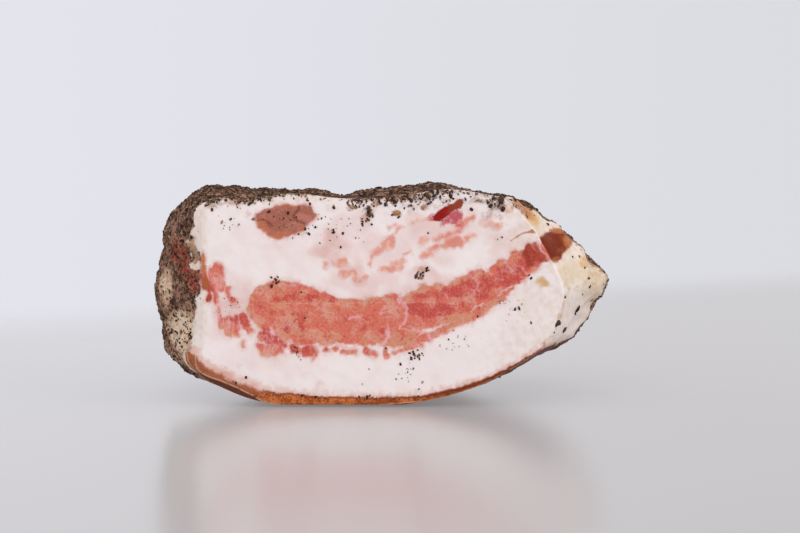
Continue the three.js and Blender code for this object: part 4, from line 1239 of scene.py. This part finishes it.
def cut_colour(shader, tones, field, fine, tiny):
    """Colour of the cut, and how much of it is lean."""
    wander = (fine - 0.5) * 2.4 + (tiny - 0.5) * 1.6
    broad = shader.noise(8, 3)
    fat = shader.mix(field["blush"] * broad.step(0.25, 0.7, 0.45, 1), tones.fat, tones.fat_pink)
    fat = shader.mix(broad.step(0.45, 0.7) * 0.35, fat, tones.fat_shade)
    # Cream of dried fat; along the cut's upper left edge it is partly painted shade, and where it is left out
    # beside the ridge a painted highlight
    fat = shader.mix((field["aged"] + (fine - 0.5) * 0.9).step(0.05, 1), fat, tones.cream)
    haze = (field["lean"] + wander).step(-1.9, 0.1) * broad.step(0.4, 0.6, 0.3, 0.65)
    fat = shader.mix(haze, fat, tones.fat_pink)
    pale = (field["pale"] + wander * 0.6).step(-1, 0.8)
    streak = shader.mix(fine.step(0.42, 0.58), tones.streak, tones.streak_pink)
    streak = shader.mix(field["red"] * 0.6, streak, tones.lean)
    fat = shader.mix(pale * 0.9, fat, streak)
    magenta = shader.broken(field["magenta"], (fine - 0.5) * 1.6 + (tiny - 0.5) * 1.6, 0.1, 1.3)
    fat = shader.mix(magenta * 0.9, fat, tones.magenta)

    muscle = lean_colour(shader, tones, field, fine, tiny)
    lean = shader.mix(field["oval"].step(-0.2, 0.2), muscle, oval_colour(shader, tones, field, fine, tiny))
    leanness = (field["lean"] + wander * 0.5).step(-0.6, 0.6)
    colour = shader.mix(leanness, fat, lean)
    colour = shader.mix((field["vein"] + wander * 0.5).step(-0.5, 0.5) * 0.75, colour, tones.vein)
    gland = (field["gland"] + wander * 0.35).step(-0.35, 0.35)
    colour = shader.mix(gland, colour, gland_colour(shader, tones, field, fine))
    colour = shader.mix(shader.broken(field["gold"], (fine - 0.5) * 0.6, 0, 1.1), colour, tones.gold)
    amber = shader.broken(field["amber"], (fine - 0.5) * 1.1, 0.1, 1.1)
    colour = shader.mix(amber * 0.9, colour, tones.amber)
    score = abs(field["score"]).step(0.28, 0.05) * fine.step(0.42, 0.6)
    return shader.mix(score * 0.4, colour, tones.score), leanness


def oval_colour(shader, tones, field, fine, tiny):
    """Dusty brown pink, orange along the lower rim, a pinker lobe, and darker creases between them."""
    light = (field["tan"] + (fine - 0.5) * 1.4).step(0.1, 1)
    lobe = (field["blush"] + (fine - 0.5) * 0.6).step(0.45, 1)
    colour = shader.mix(lobe.larger(shader.noise(5, 2).step(0.48, 0.72) * 0.6), tones.oval, tones.oval_mauve)
    colour = shader.mix(light, colour, tones.oval_rim)
    colour = shader.mix((field["dark"] + (fine - 0.5) * 0.6).step(0.1, 0.8) * 0.8, colour, tones.oval_dark)
    colour = shader.mix(tiny.step(0.5, 0.3) * 0.25, colour, tones.oval_dark)
    return shader.mix(tiny.step(0.5, 0.75) * 0.35, colour, tones.lean_light)


def gland_colour(shader, tones, field, fine):
    """Crimson, browner towards the upper right, and darker along the rim."""
    brown = (shader.axis("X") + (fine - 0.5) * 4).step(21.5, 25.5)
    colour = shader.mix(brown, tones.gland, tones.gland_brown)
    return shader.mix(field["gland"].step(0.9, 0) * 0.4, colour, tones.gland_rim)


def rind_colour(shader, tones, field, fine, tiny):
    """In the cut red brown with amber stretches and a pale lip along the edge, and outside a brown skin.
    Below the lip on the left and on the side near the cut it is darkened by a painted shade of the underside.
    """
    colour = shader.mix((fine + (tiny - 0.5)).step(0.4, 0.62), tones.rind, tones.rind_amber)
    right = shader.axis("X").step(8, 26)
    upper = (field["rind"] + (fine - 0.5) * 1.8 - right * 0.9).step(1.1, 0.1) * (1 - field["soft"])
    colour = shader.mix((upper * 0.85).larger(right * 0.6), colour, tones.rind_red)
    rosy = (fine + (tiny - 0.5) * 0.7).step(0.35, 0.6, 0.25, 0.95)
    colour = shader.mix(field["soft"] * rosy, colour, tones.rind_stain)
    lower = (field["edge"] + (tiny - 0.5) * 0.8).step(1, 0.3) * field["soft"]
    colour = shader.mix(lower * 0.6, colour, tones.rind_skin)
    skin = shader.mix((fine + (tiny - 0.5)).step(0.38, 0.62), tones.rind_skin, tones.rind_red)
    colour = shader.mix((field["edge"] + (tiny - 0.5)).step(-0.2, -1.2) * field["skin"], colour, skin)
    # Painted shade: below the lip and on the side near the cut the rind is darkened where its underside lies
    # in shade
    under = field["edge"].step(0, -0.4) * (1 - field["skin"])
    colour = shader.mix(under * (0.5 + tiny * 0.6), colour, tones.rind_painted_shade)
    lip = abs(field["edge"] - 0.1).step(0.3, 0.08) * fine.step(0.3, 0.5)
    return shader.mix(lip * (0.6 - right * 0.3), colour, tones.rind_lip)


def crust_colour(shader, tones, field, fine, tiny):
    """Colour of the dried skin under the pepper, its lumpiness, and a number by chance for each crumb. It has
    upright streaks of brown and rose and dark crumbs, and is lighter where it is bare."""
    chance = shader.chance(shader.cells(0.75))
    clumps = shader.noise(4.5, 4, 0.65)
    streaks = shader.noise(1.4, 3, 0.6, vector=shader.stretched(shader.place, (1, 1, 0.4)))
    bare = field["bare"] + (clumps - 0.5) * 1.6 + (fine - 0.5) * 1.2
    ground = shader.mix(streaks.step(0.38, 0.6), tones.crust, tones.crust_rose)
    ground = shader.mix(bare.step(0.25, 0.9), ground, tones.crust_tan)
    ground = shader.mix(bare.step(0.8, 1.5), ground, tones.crust_pale)
    ground = shader.mix((streaks + (tiny - 0.5) * 0.4).step(0.5, 0.66) * 0.5, ground, tones.crust_rose)
    flesh = shader.broken(field["red"], (fine - 0.5) * 1.2 + (clumps - 0.5), 0.1, 1)
    ground = shader.mix(flesh * 0.85, ground, tones.flesh)
    top = shader.axis("Z").step(62, 72)
    dots = chance + (clumps - 0.5) * 1.2 + (0.5 - streaks) * 0.8 - bare * 0.25 + top * 0.16
    ground = shader.mix(dots.step(0.6, 0.9) * 0.65, ground, tones.pepper_black)
    light = (chance + (tiny - 0.5) * 0.5).step(0.2, 0.08)
    return shader.mix(light * 0.35, ground, tones.crust_tan), clumps + streaks * 0.6, chance


# Light goes a little way into fat and lean, and neither shines much
FLESH = {
    "Subsurface_Weight": 0.2,
    "Subsurface_Radius": (1.0, 0.55, 0.45),
    "Subsurface_Scale": 0.9 * MM,
    "Specular_IOR_Level": 0.1,
}


def flesh_shader(name):
    """A shader with the fields of its mesh, and the fine and tiny noise that break up every border."""
    shader = Shader(bpy.data.materials.new(name))
    field = {item: shader.field(item) for item in FIELDS}
    return shader, field, shader.noise(1.9, 3, 0.55), shader.noise(0.55, 2)


def fat_material(tones):
    """The whole outside of the block: the cut, the rind and the crust, by the fields of its mesh."""
    shader, field, fine, tiny = flesh_shader("cured_fat")
    colour, leanness = cut_colour(shader, tones, field, fine, tiny)
    smoke = shader.broken(field["dust"], (fine - 0.5) * 1.6, 0.1, 1.1)
    colour = shader.mix(smoke * 0.66, colour, tones.dust)
    flecks = shader.broken(field["dust"], (tiny - 0.5) * 2.6 + (fine - 0.5) * 1.6, 0.7, 1.3)
    colour = shader.mix(flecks * 0.7, colour, tones.pepper_grey)
    stained = (field["rind"] + (fine - 0.5) * 5 + field["soft"]).step(-2.8, 0.3)
    colour = shader.mix(stained * 0.6, colour, tones.fat_stained)
    wander = (fine - 0.5) * 2.2 + (tiny - 0.5) * 1.2
    rinded = (field["rind"] + wander * (field["soft"] * 1.2 + 0.7)).step(-0.5, field["soft"] * 1.2 + 0.35)
    colour = shader.mix(rinded, colour, rind_colour(shader, tones, field, fine, tiny))
    crust, clumps, chance = crust_colour(shader, tones, field, fine, tiny)
    crusted = (field["crust"] + wander * 1.2).step(-0.5, 0.5)
    colour = shader.mix(crusted, colour, crust)
    roughness = 0.42 + crusted * 0.4 - leanness * 0.06 + (tiny - 0.5) * 0.2
    height = crusted * (clumps * 0.9 + chance * 0.35) + tiny * 0.08 + leanness * tiny * 0.1
    normal = shader.bump(height, 0.45)
    return shader.finish(Base_Color=colour, Roughness=roughness, Normal=normal, **FLESH)


def lean_material(tones):
    """The cut's finish for the pieces of lean."""
    shader, field, fine, tiny = flesh_shader("cured_lean")
    colour, _ = cut_colour(shader, tones, field, fine, tiny)
    roughness = 0.36 + (tiny - 0.5) * 0.3
    normal = shader.bump(tiny * 0.22 + fine * 0.2, 0.45)
    return shader.finish(Base_Color=colour, Roughness=roughness, Normal=normal, **FLESH)


def grain_material(name, dark, light):
    """Ground spice: each grain has its own tone, with a rough broken surface."""
    shader = Shader(bpy.data.materials.new(name))
    colour = shader.mix(shader.field("tone") * 0.8 + shader.noise(0.5, 1) * 0.3, dark, light)
    normal = shader.bump(shader.noise(0.3, 2), 0.1)
    return shader.finish(Base_Color=colour, Roughness=0.75, Normal=normal, Specular_IOR_Level=0.1)


# The stage: two points of the table's far edge, how softly it ends, its size and the gap under the piece;
# and the camera, with its pitch in degrees below level
STAGE_EDGE, EDGE_BLUR = ((-191, 229), (263, 506)), 90
TABLE_SIDE, TABLE_BACK = 4000, 8000
TABLE_GLOW = 0.8
FLOOR_GAP = 0.9
CAMERA_PLACE, CAMERA_PITCH = (6.5, -706, 95), 4.133
CAMERA_LENS, CAMERA_SENSOR = 85, 36
CAMERA_CLIP = (50, 30000)
# Square soft lights: place, target and size in metres, the property with their power, and their colour
LIGHTS = {
    "key": ((-0.4, -1.2, 0.8), (0, 0, 0.03), 1.2, "key_power", (1, 0.985, 0.96)),
    "fill": ((1.3, -0.55, 0.45), (0, 0, 0.03), 0.8, "fill_power", (1, 0.985, 0.96)),
    "top": ((0.1, 0.1, 1.3), (0, 0, 0), 1.0, "top_power", (0.97, 0.985, 1)),
}


def stage_material(tones):
    """Pale, glossy table top that glows a little, which lifts its shadows, is painted lighter to the left as
    painted light, and fades into the backdrop beyond a slanting far edge.
    """
    shader = Shader(bpy.data.materials.new("stage_floor"))
    colour = shader.mix(shader.axis("X").step(150, -150), tones.floor, tones.floor_left_painted_light)
    values = {"Base Color": colour, "Roughness": 0.21, "IOR": 1.5}
    values |= {"Emission Color": colour, "Emission Strength": TABLE_GLOW}
    top = shader.node("ShaderNodeBsdfPrincipled", {}, values)
    clear = shader.node("ShaderNodeBsdfTransparent", {}, {})
    (x0, y0), (x1, y1) = STAGE_EDGE
    length = math.hypot(x1 - x0, y1 - y0)
    across = (-(y1 - y0) / length, (x1 - x0) / length, 0)
    ahead = shader.node("ShaderNodeVectorMath", {"operation": "DOT_PRODUCT"}, {0: shader.place, 1: across})
    beyond = Value(shader, ahead.outputs["Value"]) - (x0 * across[0] + y0 * across[1])
    layers = {0: beyond.step(-EDGE_BLUR, EDGE_BLUR), 1: top.outputs[0], 2: clear.outputs[0]}
    return shader.output(shader.node("ShaderNodeMixShader", {}, layers))


def room_world(tones, strength):
    """The room as a pale backdrop, a little darker to the right."""
    shader = Shader(bpy.data.worlds.new("room"), "Generated")
    colour = shader.mix(shader.axis("X").step(-250, 250), tones.backdrop, tones.backdrop_right)
    lit = shader.node("ShaderNodeBackground", {}, {"Color": colour, "Strength": strength})
    return shader.output(lit, "ShaderNodeOutputWorld")


def colour_property(name, description, *screen):
    """A colour that a user may change, given as picked on screen."""
    return bpy.props.FloatVectorProperty(
        name=name, description=description, subtype="COLOR", size=3, min=0, max=1, default=srgb(*screen)
    )


def amount_property(name, description, default, **settings):
    """A size or an amount that a user may change."""
    return bpy.props.FloatProperty(name=name, description=description, default=default, min=0, **settings)


class GuancialeTones(bpy.types.PropertyGroup):
    """Colours of the piece and its stage."""

    fat: colour_property("Fat", "Cut fat", 240, 229, 227)
    fat_pink: colour_property("Pink fat", "Fat with a haze of lean", 222, 180, 172)
    fat_shade: colour_property("Shaded fat", "Creamier stretches of the cut fat", 230, 214, 206)
    # Also used partly as painted shade along the cut's upper left edge
    cream: colour_property("Dried fat", "Fat dried in the air", 211, 192, 167)
    lean: colour_property("Lean", "Salmon lean", 214, 114, 94)
    lean_tan: colour_property("Tan lean", "Lean bundles dried to tan", 210, 144, 114)
    lean_red: colour_property("Red lean", "Deeper red lean", 194, 80, 73)
    lean_light: colour_property("Lean flecks", "Light flecks in the lean", 222, 146, 128)
    lean_deep: colour_property("Deep lean", "Lean that begins to dry", 158, 60, 44)
    lean_dry: colour_property("Dried lean", "Lean dried to brown", 114, 34, 6)
    lean_amber: colour_property("Amber lean", "Lighter stretches of the dried lean", 152, 78, 34)
    vein: colour_property("Veins", "Veins of fat in the lean", 232, 176, 180)
    score: colour_property("Knife mark", "Line left by the knife", 228, 178, 152)
    streak: colour_property("Tan streaks", "Pale streaks in the fat", 229, 170, 146)
    streak_pink: colour_property("Pink streaks", "Pinker streaks in the fat", 222, 146, 132)
    magenta: colour_property("Pink tissue", "Tissue beside the dark eye", 188, 60, 76)
    oval: colour_property("Oval eye", "Dusty brown pink eye", 166, 102, 84)
    oval_mauve: colour_property("Oval eye, pink", "Pinker lobe of the oval eye", 184, 120, 106)
    oval_rim: colour_property("Oval eye, rim", "Orange rim of the oval eye", 190, 114, 84)
    oval_dark: colour_property("Oval eye, dark", "Creases of the oval eye", 122, 66, 50)
    gland: colour_property("Dark eye", "Crimson eye", 150, 22, 20)
    gland_brown: colour_property("Dark eye, brown", "Browner end of the eye", 148, 66, 44)
    gland_rim: colour_property("Dark eye, rim", "Rim of the dark eye", 126, 26, 34)
    amber: colour_property("Amber", "Amber stains", 180, 110, 58)
    gold: colour_property("Gold", "Middle of the amber stains", 206, 160, 100)
    rind: colour_property("Rind", "Red brown rind", 150, 74, 36)
    rind_amber: colour_property("Amber rind", "Lighter rind", 202, 116, 62)
    rind_red: colour_property("Red rind", "Edge of the rind", 112, 42, 20)
    rind_skin: colour_property("Skin", "Outer side of the rind", 146, 102, 84)
    # Painted shade of the rind's shaded underside
    rind_painted_shade: colour_property("Rind below", "Rind's shaded underside", 74, 34, 24)
    rind_lip: colour_property("Rind edge", "Knife's edge of the rind", 224, 170, 138)
    rind_stain: colour_property("Soft rind", "Softer rind on the left", 162, 96, 70)
    fat_stained: colour_property("Fat above the rind", "Fat stained by the rind", 212, 156, 136)
    flesh: colour_property("Dried flesh", "Flesh that shows through the crust", 152, 70, 54)
    crust: colour_property("Crust", "Dried skin under the pepper", 94, 70, 60)
    crust_rose: colour_property("Rosy crust", "Lighter streaks of the crust", 148, 111, 93)
    crust_tan: colour_property("Thin crust", "Crust with little pepper", 186, 152, 124)
    crust_pale: colour_property("Bare crust", "Crust where hardly any pepper stuck", 222, 198, 172)
    dust: colour_property("Dust", "Ground pepper on the cut", 146, 112, 94)
    pepper_black: colour_property("Black pepper", "Dark grains", 38, 25, 19)
    pepper_grey: colour_property("Grey pepper", "Lighter side of the dark grains", 82, 60, 48)
    pepper_brown: colour_property("Brown spice", "Brown grains", 66, 44, 34)
    pepper_ochre: colour_property("Ochre spice", "Lighter brown grains", 124, 92, 68)
    pepper_tan: colour_property("Tan spice", "Tan grains", 126, 84, 54)
    pepper_pale: colour_property("Pale spice", "Palest grains", 178, 138, 96)
    floor: colour_property("Table", "Table top", 130, 127, 127)
    # Painted light: the left side of the table top is lighter
    floor_left_painted_light: colour_property("Table, left", "Left side of the table top", 139, 137, 137)
    backdrop: colour_property("Backdrop", "Pale wall and room", 228, 228, 236)
    backdrop_right: colour_property("Backdrop, right", "Right side of the wall", 219, 220, 225)


class GuancialeSizes(bpy.types.PropertyGroup):
    """Sizes and amounts."""

    crust_relief: amount_property("Crust relief", "Height of the crust's crags", 0.55 * MM, unit="LENGTH")
    pepper: amount_property("Pepper", "Share of the grains on the crust", 1, max=1.5, subtype="FACTOR")
    key_power: amount_property("Key light", "Power of the large soft light", 7.4, unit="POWER")
    fill_power: amount_property("Fill light", "Power of the soft light from the right", 7, unit="POWER")
    top_power: amount_property("Top light", "Power of the light from above", 2.3, unit="POWER")
    ambient: amount_property("Ambient", "Strength of the room's light", 1)


class GUANCIALE_OT_block(bpy.types.Operator):
    """Makes the fat with its crust and rind"""

    bl_idname = "guanciale.block"
    bl_label = "Fat, crust and rind"

    def execute(self, context):
        block = make_block(context.scene.guanciale_sizes.crust_relief / MM)
        block.data.shade_smooth()
        block.data.materials.append(fat_material(context.scene.guanciale_tones))
        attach(block, ROOT)
        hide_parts("jowl_fat")
        return {"FINISHED"}


class GUANCIALE_OT_lean(bpy.types.Operator):
    """Makes the streak and the two eyes of lean"""

    bl_idname = "guanciale.lean"
    bl_label = "Lean"

    def execute(self, context):
        material = lean_material(context.scene.guanciale_tones)
        for name, lean in LEANS.items():
            piece = make_lean(name)
            piece.data.shade_smooth()
            piece.data.set_sharp_from_angle(angle=math.radians(40))
            piece.data.materials.append(material)
            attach(piece, ROOT)
            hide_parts(lean.node)
        return {"FINISHED"}


class GUANCIALE_OT_pepper(bpy.types.Operator):
    """Scatters the grains of pepper and spice"""

    bl_idname = "guanciale.pepper"
    bl_label = "Pepper"

    def execute(self, context):
        tones = context.scene.guanciale_tones
        block = bpy.data.objects["fat_block"]
        for kind, grain in GRAINS.items():
            piece = make_grains(kind, block, context.scene.guanciale_sizes.pepper)
            material = grain_material(kind, getattr(tones, grain.dark), getattr(tones, grain.light))
            piece.data.materials.append(material)
            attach(piece, ROOT)
        return {"FINISHED"}


def add_light(name, place, target, size, power, colour):
    """A square area light that looks at a target; lengths are in metres."""
    data = bpy.data.lights.new(name, "AREA")
    data.size = size
    data.energy = power
    data.color = colour
    light = bpy.data.objects.new(name, data)
    light.location = place
    light.rotation_euler = (Vector(target) - Vector(place)).to_track_quat("-Z", "Y").to_euler()
    bpy.context.scene.collection.objects.link(light)


class GUANCIALE_OT_stage(bpy.types.Operator):
    """Makes the table top, the soft lights and the camera"""

    bl_idname = "guanciale.stage"
    bl_label = "Stage, lights and camera"

    def execute(self, context):
        tones, sizes = context.scene.guanciale_tones, context.scene.guanciale_sizes
        front = [(-TABLE_SIDE, -TABLE_SIDE), (TABLE_SIDE, -TABLE_SIDE)]
        back = [(TABLE_SIDE, TABLE_BACK), (-TABLE_SIDE, TABLE_BACK)]
        corners = np.array([(x, y, -FLOOR_GAP) for x, y in front + back])
        floor = add_mesh("stage_table", corners, np.array([[0, 1, 2, 3]]), np.empty((0, 3), np.int32), {})
        floor.data.materials.append(stage_material(tones))
        context.scene.world = room_world(tones, sizes.ambient)
        for name, (place, target, size, power, colour) in LIGHTS.items():
            add_light(name, place, target, size, getattr(sizes, power), colour)

        data = bpy.data.cameras.new("camera")
        data.lens, data.sensor_width = CAMERA_LENS, CAMERA_SENSOR
        data.clip_start, data.clip_end = (clip * MM for clip in CAMERA_CLIP)
        camera = bpy.data.objects.new("camera", data)
        camera.location = [place * MM for place in CAMERA_PLACE]
        camera.rotation_euler = (math.radians(90 - CAMERA_PITCH), 0, 0)
        context.scene.collection.objects.link(camera)
        context.scene.camera = camera
        context.scene.view_settings.view_transform = "Standard"
        return {"FINISHED"}


class GUANCIALE_PT_panel(bpy.types.Panel):
    """Lists the steps and the values in the 3D view's sidebar"""

    bl_idname = "GUANCIALE_PT_panel"
    bl_label = "Guanciale"
    bl_space_type = "VIEW_3D"
    bl_region_type = "UI"
    bl_category = "Guanciale"

    def draw(self, context):
        for operator in OPERATORS:
            self.layout.operator(operator.bl_idname)
        for group in (context.scene.guanciale_sizes, context.scene.guanciale_tones):
            for name in group.__annotations__:
                self.layout.prop(group, name)


OPERATORS = (GUANCIALE_OT_block, GUANCIALE_OT_lean, GUANCIALE_OT_pepper, GUANCIALE_OT_stage)
CLASSES = (GuancialeTones, GuancialeSizes, *OPERATORS, GUANCIALE_PT_panel)


def register():
    for item in CLASSES:
        bpy.utils.register_class(item)
    bpy.types.Scene.guanciale_tones = bpy.props.PointerProperty(type=GuancialeTones)
    bpy.types.Scene.guanciale_sizes = bpy.props.PointerProperty(type=GuancialeSizes)


def unregister():
    del bpy.types.Scene.guanciale_sizes
    del bpy.types.Scene.guanciale_tones
    for item in reversed(CLASSES):
        bpy.utils.unregister_class(item)


def main():
    """Makes everything in order."""
    register()
    bpy.ops.guanciale.block()
    bpy.ops.guanciale.lean()
    bpy.ops.guanciale.pepper()
    bpy.ops.guanciale.stage()


if __name__ == "__main__":
    main()
